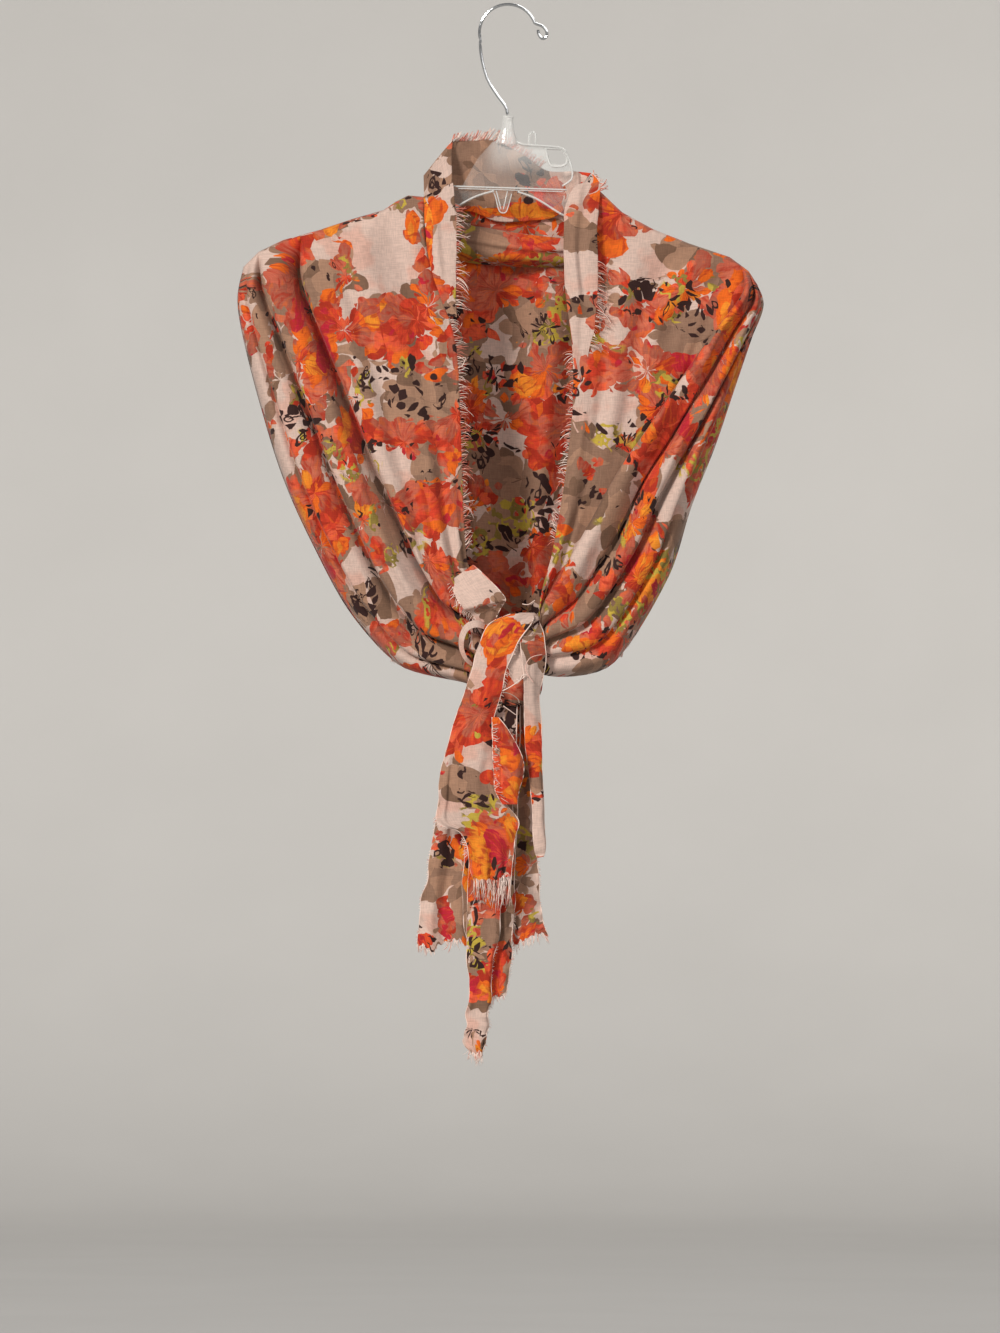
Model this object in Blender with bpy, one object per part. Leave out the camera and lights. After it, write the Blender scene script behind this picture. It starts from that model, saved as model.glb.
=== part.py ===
"""A gauze scarf laid over a clear clothes hanger and tied in one knot in front.

Metres, +Z up, the front faces -Y. The origin is the inner top of the hanger's hook, where it hangs.
Tables are in millimetres. Each stretch of the cloth that shows is a thin closed wall.
"""

import math
from collections import namedtuple

import bmesh
import bpy
import numpy as np

MM = 0.001
WALL = 1.6  # thickness of the cloth's wall, with the air in its weave
FRINGE_WALL = 1.0
SEAM = 0.3  # gap where one stretch runs on into the next
HALF_SEAM = SEAM / 2 + 0.05
ARM_ROLL = 8.0  # radius at which the cloth turns over the hanger's arms
RAY = 400.0  # a fold's usual length, from the shoulder to the knot
SIDE_TURN = 0.11  # share of a front's width in which it turns round to the back
BACK_TURN = 0.06  # the same for the back
FRONT_ROWS = 22
SIDE_ROWS = 20  # of the front's rows, those that meet the back before the lower edge
ROW_CROWDING = 1.7  # rows crowd together at the shoulder by this power

HOOK_RADIUS = 24.0
WIRE_RADIUS = 1.25
HANGER_TILT = math.radians(-1.8)
HANGER_PIVOT_Z = -100.0

Front = namedtuple("Front", "outer_x outer_z inner_x inner_z depth side")
LEFT_FRONT = [
    Front(-222.6, -220.1, -69.7, -161.3, 0, 0),
    Front(-227.6, -248.6, -68.9, -198.2, 6, 2),
    Front(-220.9, -288.1, -57.1, -237.7, 14, 4),
    Front(-206.6, -342.7, -43.7, -286.4, 21, 6),
    Front(-189.0, -398.2, -40.3, -336.8, 27, 8),
    Front(-164.6, -452.8, -38.6, -387.2, 31, 10),
    Front(-131.0, -513.2, -37.0, -433.4, 34, 14),
    Front(-86.5, -558.6, -34.0, -471.2, 35, 22),
    Front(-37.0, -572.5, -27.0, -508.0, 35, 37),
]
RIGHT_FRONT = [
    Front(210.0, -235.2, 75.6, -154.6, 0, 0),
    Front(215.0, -252.8, 50.5, -194.0, 6, 2),
    Front(205.0, -280.6, 48.7, -240.2, 14, 4),
    Front(190.7, -322.6, 53.8, -286.4, 21, 6),
    Front(173.9, -372.1, 54.6, -332.6, 27, 8),
    Front(154.6, -420.8, 50.4, -378.8, 31, 10),
    Front(132.5, -486.0, 43.7, -425.0, 34, 14),
    Front(83.0, -558.5, 36.1, -467.0, 35, 22),
    Front(30.0, -562.0, 28.0, -516.0, 35, 37),
]

# The shoulder lines, from the neck out to the tip.
Line = namedtuple("Line", "x z")
LEFT_SHOULDER = [
    Line(-69.7, -161.3),
    Line(-84.0, -159.9),
    Line(-94.9, -165.5),
    Line(-104.2, -172.2),
    Line(-131.0, -179.8),
    Line(-161.3, -189.8),
    Line(-189.0, -197.4),
    Line(-210.0, -207.5),
    Line(-222.6, -220.1),
]
RIGHT_SHOULDER = [
    Line(75.6, -154.6),
    Line(95.8, -173.9),
    Line(121.8, -188.2),
    Line(153.7, -200.8),
    Line(186.5, -211.7),
    Line(202.4, -223.4),
    Line(210.0, -235.2),
]
SHOULDER_FADE = 3  # the shoulder line's shape dies out down the front by this power

# Where each fold's crest and foot lie across a front, from the opening (0) to the side (1), at four
# places from the shoulder to the knot, and how far each stands out. columns: how many columns there
# are from it to the next. A single one is a fold's edge.
Turn = namedtuple("Turn", "top upper lower end height columns")
LEFT_PLEATS = [
    Turn(0.00, 0.00, 0.00, 0.00, 0.0, 5),
    Turn(0.62, 0.585, 0.435, 0.34, 7.0, 1),
    Turn(0.66, 0.605, 0.455, 0.38, -5.5, 4),
    Turn(0.87, 0.775, 0.69, 0.62, 6.5, 1),
    Turn(0.90, 0.80, 0.72, 0.67, -3.0, 2),
    Turn(0.945, 0.905, 0.88, 0.84, 4.0, 1),
    Turn(0.965, 0.925, 0.905, 0.88, -1.0, 4),
    Turn(1.00, 1.00, 1.00, 1.00, 0.0, 0),
]
RIGHT_PLEATS = [
    Turn(0.00, 0.00, 0.00, 0.00, 0.0, 5),
    Turn(0.86, 0.725, 0.335, 0.13, -3.0, 1),
    Turn(0.88, 0.75, 0.36, 0.18, 7.5, 3),
    Turn(0.905, 0.83, 0.53, 0.32, 3.0, 1),
    Turn(0.915, 0.845, 0.555, 0.36, -2.5, 2),
    Turn(0.945, 0.92, 0.70, 0.50, 6.5, 1),
    Turn(0.955, 0.935, 0.725, 0.55, -1.5, 2),
    Turn(0.975, 0.97, 0.86, 0.70, 3.5, 1),
    Turn(0.985, 0.98, 0.885, 0.75, -1.0, 2),
    Turn(1.00, 1.00, 1.00, 1.00, 0.0, 0),
]
PLEAT_START = 0.12  # the pleats reach their full depth this far down a front
GATHER_START = 0.75  # and close up from here to the knot
GATHERED_HEIGHT = 0.45
NEAR_KNOT = 0.86  # from here down, the fronts close in on the knot's sides

# The back's upper edge across the neck, from the left shoulder line to the right.
Neck = namedtuple("Neck", "x y z")
NECK_LINE = [
    Neck(-56.0, 9.5, -166.0),
    Neck(-38.0, 18.5, -172.0),
    Neck(-26.0, 23, -173.0),
    Neck(-9.0, 27.6, -173.0),
    Neck(6.0, 28.8, -173.0),
    Neck(20.0, 28.5, -172.5),
    Neck(42.0, 21.3, -169.0),
    Neck(58.0, 12.5, -163.0),
]
NECK_ROLL_END = 10.0  # where the upper edge lies this far back, it no longer turns over an arm
Depth = namedtuple("Depth", "side_part middle_part")
BACK_DEPTH = [Depth(0, 0), Depth(11, 4), Depth(17, 6), Depth(20, 8), Depth(19, 9), Depth(14, 8)]
HEM_SAG = 14.0
BACK_COLUMNS = 18

# A ribbon's rows give its two edges, and how far it bulges forward between them.
Rib = namedtuple("Rib", "a_x a_y a_z b_x b_y b_z bulge")
COLLAR = [
    Rib(-71.0, -3, -143.0, -70.8, -9.5, -160.3, 0),
    Rib(-60.0, 6, -129.0, -58.5, -8.3, -154.6, 0),
    Rib(-48.0, 16, -114.0, -46.5, -7.0, -148.7, 0),
    Rib(-46.0, 17.5, -113.4, -45.8, 0.0, -149.2, 0),
    Rib(-44.0, 19, -113.0, -44.8, 7.0, -153.5, 0),
    Rib(-41.0, 20.5, -112.8, -42.0, 11.0, -166.5, 0),
    Rib(-30.0, 25, -112.5, -29.5, 17.0, -173.0, 2),
    Rib(-12.0, 28, -113.0, -9.0, 22.0, -181.0, 3),
    Rib(12.0, 28, -124.0, 19.0, 23.0, -180.5, 3),
    Rib(33.0, 22, -138.0, 42.0, 16.0, -176.0, 2),
    Rib(56.0, 10, -139.5, 58.0, 8.0, -156.0, 0),
    Rib(70.0, 1.5, -141.0, 62.0, 1.8, -151.5, 0),
]
NECK_ROLL = [
    Rib(-60.0, 12.8, -181.5, -60.0, 21.0, -210.0, 9),
    Rib(-28.0, 18.9, -185.0, -30.0, 26.0, -216.0, 13),
    Rib(10.0, 24.5, -191.0, 8.0, 30.0, -219.0, 16),
    Rib(44.0, 21.8, -195.0, 42.0, 27.0, -219.0, 13),
    Rib(62.0, 19.0, -196.0, 62.0, 23.2, -216.0, 9),
]
LEFT_LAPEL = [
    Rib(-70.9, -9.9, -161.0, -46.2, -7.3, -149.3, 0),
    Rib(-70.5, -11.8, -170.0, -44.4, -13.5, -166.0, 1),
    Rib(-69.2, -14.8, -187.0, -43.5, -17.5, -186.0, 2),
    Rib(-67.8, -18.4, -208.0, -43.0, -21.5, -207.0, 2),
    Rib(-62.8, -23.6, -230.0, -43.7, -25.0, -229.0, 2),
    Rib(-56.0, -26.4, -247.0, -43.8, -27.0, -246.0, 1),
    Rib(-49.5, -28.4, -262.0, -42.5, -28.6, -263.0, 0),
]
RIGHT_LAPEL = [
    Rib(62.6, 0.9, -151.9, 70.7, 0.6, -141.5, 0),
    Rib(57.0, -7.0, -151.5, 76.3, -5.5, -147.5, 0),
    Rib(50.5, -12.0, -161.0, 77.0, -10.5, -158.0, 1),
    Rib(47.3, -15.5, -178.0, 75.8, -14.8, -176.0, 2),
    Rib(46.2, -19.5, -206.0, 75.6, -19.5, -206.0, 2),
    Rib(48.7, -25.0, -240.0, 75.6, -25.0, -240.0, 2),
    Rib(51.9, -29.4, -266.0, 73.2, -29.4, -266.0, 1),
    Rib(55.2, -32.6, -292.0, 68.4, -32.6, -292.0, 0),
    Rib(61.0, -35.6, -321.0, 63.6, -35.6, -321.0, 0),
]
KNOT_FLAP = [
    Rib(-43.7, -49.2, -484.7, -29.4, -49.3, -471.2, 0),
    Rib(-42.0, -52.0, -495.0, -15.0, -53.0, -485.0, 2),
    Rib(-38.0, -55.0, -503.5, -3.5, -57.5, -499.0, 3),
    Rib(-32.0, -54.0, -511.0, -4.5, -55.5, -509.0, 2),
    Rib(-24.0, -52.0, -516.5, -8.0, -52.5, -516.5, 0),
]
KNOT_LOOP = [
    Rib(-16.9, -51.5, -522.3, -17.1, -54.0, -526.4, 0),
    Rib(-25.5, -57.0, -517.8, -26.0, -58.5, -523.8, 0),
    Rib(-35.0, -57.0, -520.6, -33.0, -59.0, -526.4, 0),
    Rib(-40.6, -56.5, -530.0, -36.4, -59.0, -533.4, 0),
    Rib(-40.8, -56.0, -541.5, -37.0, -58.5, -541.0, 0),
    Rib(-36.6, -55.0, -551.0, -34.2, -57.0, -548.6, 0),
    Rib(-30.5, -51.5, -556.4, -29.5, -53.0, -553.4, 0),
]

Knot = namedtuple("Knot", "z left right front back")
KNOT = [
    Knot(-511.5, 10, 22, -49, -40),
    Knot(-514.0, 2, 25, -53, -36),
    Knot(-518.0, -13, 27, -56, -33),
    Knot(-528.0, -19, 29, -59, -30),
    Knot(-540.0, -25, 30, -61, -28),
    Knot(-553.0, -29, 30, -61, -27),
    Knot(-566.0, -33, 29, -60, -27),
    Knot(-577.0, -36, 28, -60, -28),
]
KNOT_TOP = -520.0  # the height at which its sides have become upright
KNOT_POINTS = 28
KNOT_SQUARENESS = 3.4
KNOT_FOLDS = 5
KNOT_FOLD_DEPTH = 1.3
KNOT_TWIST = 0.09  # radians that the folds turn for each millimetre down

TAIL_TOP = -577.3
TAIL_FRONT = [
    Rib(-36.5, -56, TAIL_TOP, -3.0, -56.5, TAIL_TOP, 1.0),
    Rib(-46.2, -57, -607.0, -13.0, -58.0, -607.0, 2.0),
    Rib(-52.0, -57, -631.0, -11.8, -58.5, -631.0, 2.5),
    Rib(-56.3, -57, -649.0, -11.0, -58.5, -649.0, 2.5),
    Rib(-58.8, -57, -668.6, -3.4, -58.0, -668.6, 2.5),
    Rib(-59.6, -57, -687.0, 9.0, -57.5, -686.0, 2.0),
    Rib(-39.0, -57, -696.0, 7.0, -57.0, -700.0, 2.0),
    Rib(-32.0, -57, -719.0, 5.0, -57.0, -719.0, 2.0),
    Rib(-30.0, -57, -734.0, 3.4, -57.0, -734.0, 1.5),
]
TAIL_RUFFLE = [
    Rib(-13.4, -60.3, -599.0, -8.0, -60.5, -599.0, 0.0),
    Rib(-13.4, -61.0, -612.0, 1.5, -61.4, -612.0, 2.0),
    Rib(-12.6, -61.4, -632.5, 12.6, -62.0, -632.5, 4.0),
    Rib(-12.0, -61.4, -648.0, 13.2, -62.0, -646.0, 4.0),
    Rib(-11.0, -61.0, -660.0, 9.5, -61.4, -660.0, 3.0),
    Rib(-5.0, -60.5, -672.0, 7.5, -61.0, -672.0, 0.5),
]
TAIL_RIGHT = [
    Rib(13.5, -53, TAIL_TOP, 26.0, -52, TAIL_TOP, 0.5),
    Rib(13.8, -53, -607.0, 28.6, -52, -607.0, 1.5),
    Rib(16.0, -53, -639.0, 29.4, -52, -639.0, 2.0),
    Rib(20.0, -53, -680.0, 30.4, -52, -680.0, 2.0),
    Rib(22.0, -53, -716.5, 31.5, -52, -715.0, 1.5),
]
TAIL_LONG_FRONT = [
    Rib(-26.0, -48, TAIL_TOP, 8.0, -48, TAIL_TOP, 1.0),
    Rib(-29.0, -48, -640.0, 6.0, -48, -640.0, 2.0),
    Rib(-31.0, -48, -700.0, 2.0, -48, -700.0, 2.5),
    Rib(-34.4, -48, -764.0, -6.0, -48, -764.0, 2.5),
    Rib(-33.6, -48, -818.0, -13.4, -48, -818.0, 2.5),
    Rib(-34.8, -48, -854.0, -16.8, -48, -854.0, 2.0),
    Rib(-37.8, -48, -868.6, -19.0, -48, -870.0, 1.5),
    Rib(-33.5, -48, -879.5, -22.5, -48, -882.0, 0.5),
]
TAIL_LONG_BACK = [
    Rib(-28.0, -41.5, TAIL_TOP, 11.0, -41.5, TAIL_TOP, 1.0),
    Rib(-32.0, -41.5, -660.0, 8.0, -41.5, -660.0, 2.0),
    Rib(-38.6, -41.5, -739.0, 5.5, -41.5, -739.0, 2.0),
    Rib(-34.4, -41.5, -787.0, 3.4, -41.5, -787.0, 2.0),
    Rib(-22.0, -41.5, -836.0, -0.8, -41.5, -829.0, 1.5),
]
TAIL_BACK = [
    Rib(-34.5, -34, TAIL_TOP, 18.0, -34, TAIL_TOP, 1.0),
    Rib(-48.7, -34, -618.0, 21.8, -34, -618.0, 1.5),
    Rib(-55.4, -34, -652.0, 23.5, -34, -652.0, 1.5),
    Rib(-60.5, -34, -693.0, 23.5, -34, -693.0, 1.5),
    Rib(-68.0, -34, -733.0, 25.2, -34, -733.0, 1.5),
    Rib(-73.9, -34, -764.0, 28.6, -34, -764.0, 1.5),
    Rib(-77.3, -34, -792.0, 32.6, -34, -784.0, 1.5),
]

# Soft corrugations down a tail: how many across it, and how deep at the lower end.
Corrugation = namedtuple("Corrugation", "count depth")
NO_FOLDS = Corrugation(0, 0)

# The moulded hanger before it is tilted, from its middle outwards.
ARM_TOP = [
    Line(45, -153),
    Line(57, -159.2),
    Line(68, -165.6),
    Line(82, -171.2),
    Line(100, -178.4),
    Line(125, -187.5),
    Line(160, -200.5),
    Line(190, -211),
    Line(202, -217),
]
ARM_HEIGHT = 19.0
FLANGE = 1.8
FLANGE_HALF = 3.5
WEB_HALF = 1.1
CROSSBAR_Z = -153.0
HUB_RIGHT = [
    Line(8, -113),
    Line(14, -115.5),
    Line(44, -117),
    Line(51, -122),
    Line(55.5, -134),
    Line(56, -144),
    Line(48, -151),
]
HUB_LEFT = [Line(-8, -113), Line(-13, -115.5), Line(-25, -130), Line(-37, -153)]
WINDOW = [
    Line(33, -120),
    Line(45, -120.5),
    Line(49.5, -125),
    Line(49.5, -130.5),
    Line(46, -132.5),
    Line(37.5, -131.5),
]
TONGUE = [
    Line(-17, -154),
    Line(-9.5, -158),
    Line(-5.5, -171),
    Line(-3.5, -174.5),
    Line(-0.5, -174.5),
    Line(1.5, -171),
    Line(4.5, -158),
    Line(9, -154),
]
Ring = namedtuple("Ring", "radius z")
NECK_CONE = [
    Ring(3.4, -92.5),
    Ring(4.3, -93.5),
    Ring(4.2, -97.5),
    Ring(5.2, -104),
    Ring(7.6, -111),
    Ring(9.0, -116.5),
]
NECK_CONE_DEPTH = 0.62  # the cone is this much shallower from front to back
SIZE_LOOP_X = 21.0
SIZE_LOOP_Z = -110.0
SIZE_LOOP_RADIUS = 3.1

# The hook's long bend, from the end of its round part down to the neck.
HOOK_BEND = [
    Line(-23.6, -30),
    Line(-22.2, -44),
    Line(-17.2, -62),
    Line(-8.6, -76),
    Line(-2.0, -85),
    Line(-0.4, -91.6),
]
HOOK_EYE = [
    Line(24.6, -15.5),
    Line(29.3, -17.5),
    Line(32.6, -21.8),
    Line(32.2, -26.4),
    Line(28.6, -27.6),
    Line(25.9, -24.0),
    Line(25.4, -20.2),
]


# ------------------------------------------------------------------------------------------ curves


def read_rows(rows, places):
    """A table's rows read at places from 0 to 1, on a smooth curve through them."""
    values = np.array(rows, float)
    last = len(values) - 1
    place = np.clip(np.asarray(places, float), 0, 1) * last
    first = np.clip(place.astype(int), 0, last - 1)
    part = (place - first)[..., None]
    start, end = values[first], values[first + 1]
    leave = (end - values[np.maximum(first - 1, 0)]) / 2
    arrive = (values[np.minimum(first + 2, last)] - start) / 2
    square, cube = part**2, part**3
    return (
        (2 * cube - 3 * square + 1) * start
        + (cube - 2 * square + part) * leave
        + (3 * square - 2 * cube) * end
        + (cube - square) * arrive
    )


def read_line(points, places):
    """A polyline's points read at places from 0 to 1 of its length."""
    points = np.array(points, float)
    run = np.concatenate([[0], np.cumsum(np.linalg.norm(np.diff(points, axis=0), axis=1))])
    return np.stack([np.interp(places, run / run[-1], column) for column in points.T], axis=-1)


def ease(part):
    part = np.clip(part, 0, 1)
    return part * part * (3 - 2 * part)


def quarter_round(part):
    """How far a quarter circle has come out, from 0 to 1, when part of its depth is passed."""
    return np.sqrt(1 - (1 - np.clip(part, 0, 1)) ** 2)


def cubic_through(values, places):
    """The cubic through four values at 0, 1/3, 2/3 and 1."""
    nodes = [0, 1 / 3, 2 / 3, 1]
    total = 0
    for i, value in enumerate(values):
        term = value
        for j, node in enumerate(nodes):
            if j != i:
                term = term * (places - node) / (nodes[i] - node)
        total = total + term
    return total


# ------------------------------------------------------------------------------------------ solids


def material(name, colour, roughness, metallic=0.0, transmission=0.0):
    made = bpy.data.materials.new(name)
    made.use_nodes = True
    shader = made.node_tree.nodes["Principled BSDF"]
    shader.inputs["Base Color"].default_value = (*colour, 1)
    shader.inputs["Roughness"].default_value = roughness
    shader.inputs["Metallic"].default_value = metallic
    shader.inputs["Transmission Weight"].default_value = transmission
    return made


def add_object(name, mesh, finish):
    mesh.materials.append(finish)
    made = bpy.data.objects.new(name, mesh)
    bpy.context.scene.collection.objects.link(made)
    return made


def closed_mesh(name, points, faces, finish):
    """A mesh object from points in millimetres, with its faces turned outwards."""
    mesh = bpy.data.meshes.new(name)
    mesh.from_pydata([tuple(point) for point in np.asarray(points) * MM], [], faces)
    shape = bmesh.new()
    shape.from_mesh(mesh)
    bmesh.ops.recalc_face_normals(shape, faces=shape.faces)
    shape.to_mesh(mesh)
    shape.free()
    mesh.shade_smooth()
    mesh.set_sharp_from_angle(angle=math.radians(50))
    return add_object(name, mesh, finish)


def sheet_normals(grid, level=(), upright=(), square=()):
    """The sheet's normals. The edges in level keep theirs out of Y, those in upright out of Z and
    those in square out of X, so that they meet a neighbour squarely."""
    along = np.gradient(grid, axis=0)
    across = np.gradient(grid, axis=1)
    normals = np.cross(along, across)
    edges = {"first": (0, slice(None)), "last": (-1, slice(None))}
    edges |= {"near": (slice(None), 0), "far": (slice(None), -1)}
    for axis, names in ((1, level), (2, upright), (0, square)):
        for name in names:
            rows, columns = edges[name][0], edges[name][1]
            normals[rows, columns, axis] = 0
    return normals / np.linalg.norm(normals, axis=2, keepdims=True)


def wall(name, grid, finish, thickness=WALL, **edges):
    """A closed wall on both sides of a grid of points."""
    normals = sheet_normals(grid, **edges)
    rows, columns = grid.shape[:2]
    sides = [grid + normals * thickness / 2, grid - normals * thickness / 2]
    points = np.concatenate([side.reshape(-1, 3) for side in sides])
    behind = rows * columns
    faces = []
    for i in range(rows - 1):
        for j in range(columns - 1):
            corner = i * columns + j
            quad = [corner, corner + 1, corner + columns + 1, corner + columns]
            faces.append(quad)
            faces.append([behind + index for index in reversed(quad)])
    rim = [j for j in range(columns)]
    rim += [i * columns + columns - 1 for i in range(1, rows)]
    rim += [(rows - 1) * columns + j for j in range(columns - 2, -1, -1)]
    rim += [i * columns for i in range(rows - 2, 0, -1)]
    for first, second in zip(rim, rim[1:] + rim[:1]):
        faces.append([second, first, behind + first, behind + second])
    return closed_mesh(name, points, faces, finish)


def fringe(name, edge, inside, reach, finish):
    """A thin strip past a sheet's edge, as far as its threads reach. inside is the line of points
    next to the edge, or one direction in which all the threads hang."""
    outward = edge - inside if np.ndim(inside) == 2 else np.broadcast_to(inside, edge.shape)
    outward = outward / np.linalg.norm(outward, axis=1, keepdims=True)
    starts = edge + outward * SEAM
    grid = np.stack([starts, starts + outward * reach / 2, starts + outward * reach], axis=1)
    return wall(name, grid, finish, FRINGE_WALL)


# ------------------------------------------------------------------------------------- large panels


def front_rows():
    return (np.arange(FRONT_ROWS) / (FRONT_ROWS - 1)) ** ROW_CROWDING


def side_line(table, places):
    """The line down a side, where front and back meet: x, y and z."""
    rows = read_rows(table, places)
    return np.stack([rows[..., 0], -rows[..., 5], rows[..., 1]], axis=-1)


def pleat_columns(pleats, places):
    """Where each column lies across a front, and how far it stands out, at places down it."""
    fade = ease(places / PLEAT_START)
    fade = fade * (1 - (1 - GATHERED_HEIGHT) * ease((places - GATHER_START) / (1 - GATHER_START)))
    lines = [cubic_through(turn[:4], places) for turn in pleats]
    columns, heights = [], []
    for k, (turn, following) in enumerate(zip(pleats, pleats[1:])):
        for step in range(turn.columns):
            part = step / turn.columns
            columns.append(lines[k] + (lines[k + 1] - lines[k]) * part)
            heights.append((turn.height + (following.height - turn.height) * ease(part)) * fade)
    columns.append(lines[-1])
    heights.append(np.zeros_like(places))
    return np.stack(columns, axis=1), np.stack(heights, axis=1)


def knot_side(z, side):
    """Where the knot's left (-1) or right (1) side lies at a height."""
    rows = sorted(KNOT, key=lambda row: row.z)
    values = [row.left if side < 0 else row.right for row in rows]
    return np.interp(np.minimum(z, KNOT_TOP), [row.z for row in rows], values)


def front_sheet(table, shoulder, pleats, side):
    """A front's points, from the shoulder down to the knot and from the opening out to the side."""
    down = front_rows()
    across, height = pleat_columns(pleats, down)
    rows = read_rows(table, down)[:, None, :]
    ends = np.array(table[0], float)
    flat_x = ends[2] + (ends[0] - ends[2]) * across
    flat_z = ends[3] + (ends[1] - ends[3]) * across
    line = read_line(shoulder, across)
    fade = (1 - down[:, None]) ** SHOULDER_FADE
    x = rows[..., 2] + (rows[..., 0] - rows[..., 2]) * across + (line[..., 0] - flat_x) * fade
    z = rows[..., 3] + (rows[..., 1] - rows[..., 3]) * across + (line[..., 1] - flat_z) * fade
    over_arm = ARM_ROLL * quarter_round(down[:, None] * RAY / ARM_ROLL)
    forward = over_arm + rows[..., 4] + height
    turn = quarter_round((1 - across) / SIDE_TURN)
    y = -rows[..., 5] - (forward - rows[..., 5]) * turn - HALF_SEAM
    y[:, :-1] = np.minimum(y[:, :-1], -rows[..., 5] - HALF_SEAM - WALL / 2)
    near_knot = ease((down[:, None] - NEAR_KNOT) / (1 - NEAR_KNOT))
    x = x + (knot_side(z, side) + side * (SEAM + 0.2) - x) * near_knot
    return np.stack([x, y, z], axis=-1)


def back_sheet():
    """The back's points, from the upper edge down to the hem and from the left side to the right."""
    down = front_rows()[:SIDE_ROWS]
    part = (down / down[-1])[:, None, None]
    across = (1 - np.cos(np.linspace(0, np.pi, BACK_COLUMNS + 1))) / 2
    upper = [(row.x, 0, row.z) for row in reversed(LEFT_SHOULDER)]
    upper += list(NECK_LINE) + [(row.x, 0, row.z) for row in RIGHT_SHOULDER]
    upper = np.array(upper, float)
    wanted = upper[0, 0] + (upper[-1, 0] - upper[0, 0]) * across
    upper = np.stack([wanted] + [np.interp(wanted, upper[:, 0], upper[:, k]) for k in (1, 2)], -1)
    left = side_line(LEFT_FRONT, down)[:, None, :]
    right = side_line(RIGHT_FRONT, down)[:, None, :]
    hem = left[-1] + (right[-1] - left[-1]) * across[:, None]
    hem = hem - np.outer(HEM_SAG * np.sin(np.pi * across), (0, 0, 1))
    side = across[None, :, None]
    corners = (1 - side) * ((1 - part) * left[0] + part * left[-1])
    corners = corners + side * ((1 - part) * right[0] + part * right[-1])
    sheet = (1 - part) * upper + part * hem + (1 - side) * left + side * right - corners
    depth = read_rows(BACK_DEPTH, part[..., 0])
    middle = np.sin(np.pi * across) ** 2
    on_arm = 1 - np.clip(upper[None, :, 1] / NECK_ROLL_END, 0, 1)
    roll = ARM_ROLL * quarter_round(down[:, None] * RAY / ARM_ROLL)
    roll = roll * (on_arm + (1 - on_arm) * ease(part[..., 0] / 0.4))
    turn = quarter_round(np.minimum(across, 1 - across) / BACK_TURN)
    sides = (1 - side[..., 0]) * left[..., 1] + side[..., 0] * right[..., 1]
    swell = (1 - part[..., 0]) ** 3 * upper[None, :, 1]
    away = swell + roll + depth[..., 0] + depth[..., 1] * middle
    sheet[..., 1] = sides + (away - sides) * turn + HALF_SEAM
    inner = slice(1, -1)
    sheet[:, inner, 1] = np.maximum(sheet[:, inner, 1], sides[:, inner] + HALF_SEAM + WALL / 2)
    return sheet


def ribbon(table, rows, columns, folds=NO_FOLDS):
    """A sheet between the two edges that a table gives, which bulges forward and may corrugate."""
    down = np.linspace(0, 1, rows)
    values = read_rows(table, down)[:, None, :]
    across = np.linspace(0, 1, columns)[None, :, None]
    sheet = values[..., :3] + (values[..., 3:6] - values[..., :3]) * across
    part = across[..., 0]
    wave = np.sin(2 * np.pi * folds.count * part) * folds.depth * ease(down[:, None] * 2)
    sheet[..., 1] -= values[..., 6] * np.sin(np.pi * part) + wave * np.sin(np.pi * part) ** 0.5
    return sheet


# ---------------------------------------------------------------------------------------- the knot


def knot(finish):
    """The knot's wound body, with folds that twist down it."""
    angles = np.linspace(0, 2 * np.pi, KNOT_POINTS, endpoint=False)
    power = 2 / KNOT_SQUARENESS
    around_x = np.sign(np.cos(angles)) * np.abs(np.cos(angles)) ** power
    around_y = np.sign(np.sin(angles)) * np.abs(np.sin(angles)) ** power
    points = []
    for row in KNOT:
        twist = KNOT_TWIST * (row.z - KNOT[0].z)
        front = np.clip(-np.sin(angles), 0, 1)
        dent = KNOT_FOLD_DEPTH * front * (1 + np.sin(KNOT_FOLDS * angles + twist)) / 2
        half_x, half_y = (row.right - row.left) / 2, (row.back - row.front) / 2
        x = (row.right + row.left) / 2 + half_x * around_x
        y = (row.back + row.front) / 2 + (half_y - dent) * around_y
        points += list(np.stack([x, y, np.full_like(x, row.z)], axis=-1))
    faces = [list(range(KNOT_POINTS))]
    for i in range(len(KNOT) - 1):
        for j in range(KNOT_POINTS):
            a, b = i * KNOT_POINTS + j, i * KNOT_POINTS + (j + 1) % KNOT_POINTS
            faces.append([a, b, b + KNOT_POINTS, a + KNOT_POINTS])
    faces.append([(len(KNOT) - 1) * KNOT_POINTS + j for j in range(KNOT_POINTS)])
    return closed_mesh("knot", points, faces, finish)


# --------------------------------------------------------------------------------------- the hanger


def prism(name, outline, half_depth):
    """An outline in X and Z, extruded to both sides of the hanger's plane."""
    count = len(outline)
    points = [(x, -half_depth, z) for x, z in outline] + [(x, half_depth, z) for x, z in outline]
    faces = [list(range(count)), list(range(2 * count - 1, count - 1, -1))]
    for i in range(count):
        j = (i + 1) % count
        faces.append([i, i + count, j + count, j])
    mesh = bpy.data.meshes.new(name)
    mesh.from_pydata(points, [], faces)
    shape = bmesh.new()
    shape.from_mesh(mesh)
    bmesh.ops.recalc_face_normals(shape, faces=shape.faces)
    bmesh.ops.triangulate(shape, faces=shape.faces)
    shape.to_mesh(mesh)
    shape.free()
    made = bpy.data.objects.new(name, mesh)
    bpy.context.scene.collection.objects.link(made)
    return made


def band(line, thickness):
    """The outline of a bar of even thickness along a line, which is its upper edge."""
    line = np.array(line, float)
    steps = np.gradient(line, axis=0)
    steps /= np.linalg.norm(steps, axis=1, keepdims=True)
    under = line + np.stack([steps[:, 1], -steps[:, 0]], axis=1) * thickness
    return [tuple(point) for point in line] + [tuple(point) for point in under[::-1]]


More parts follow.
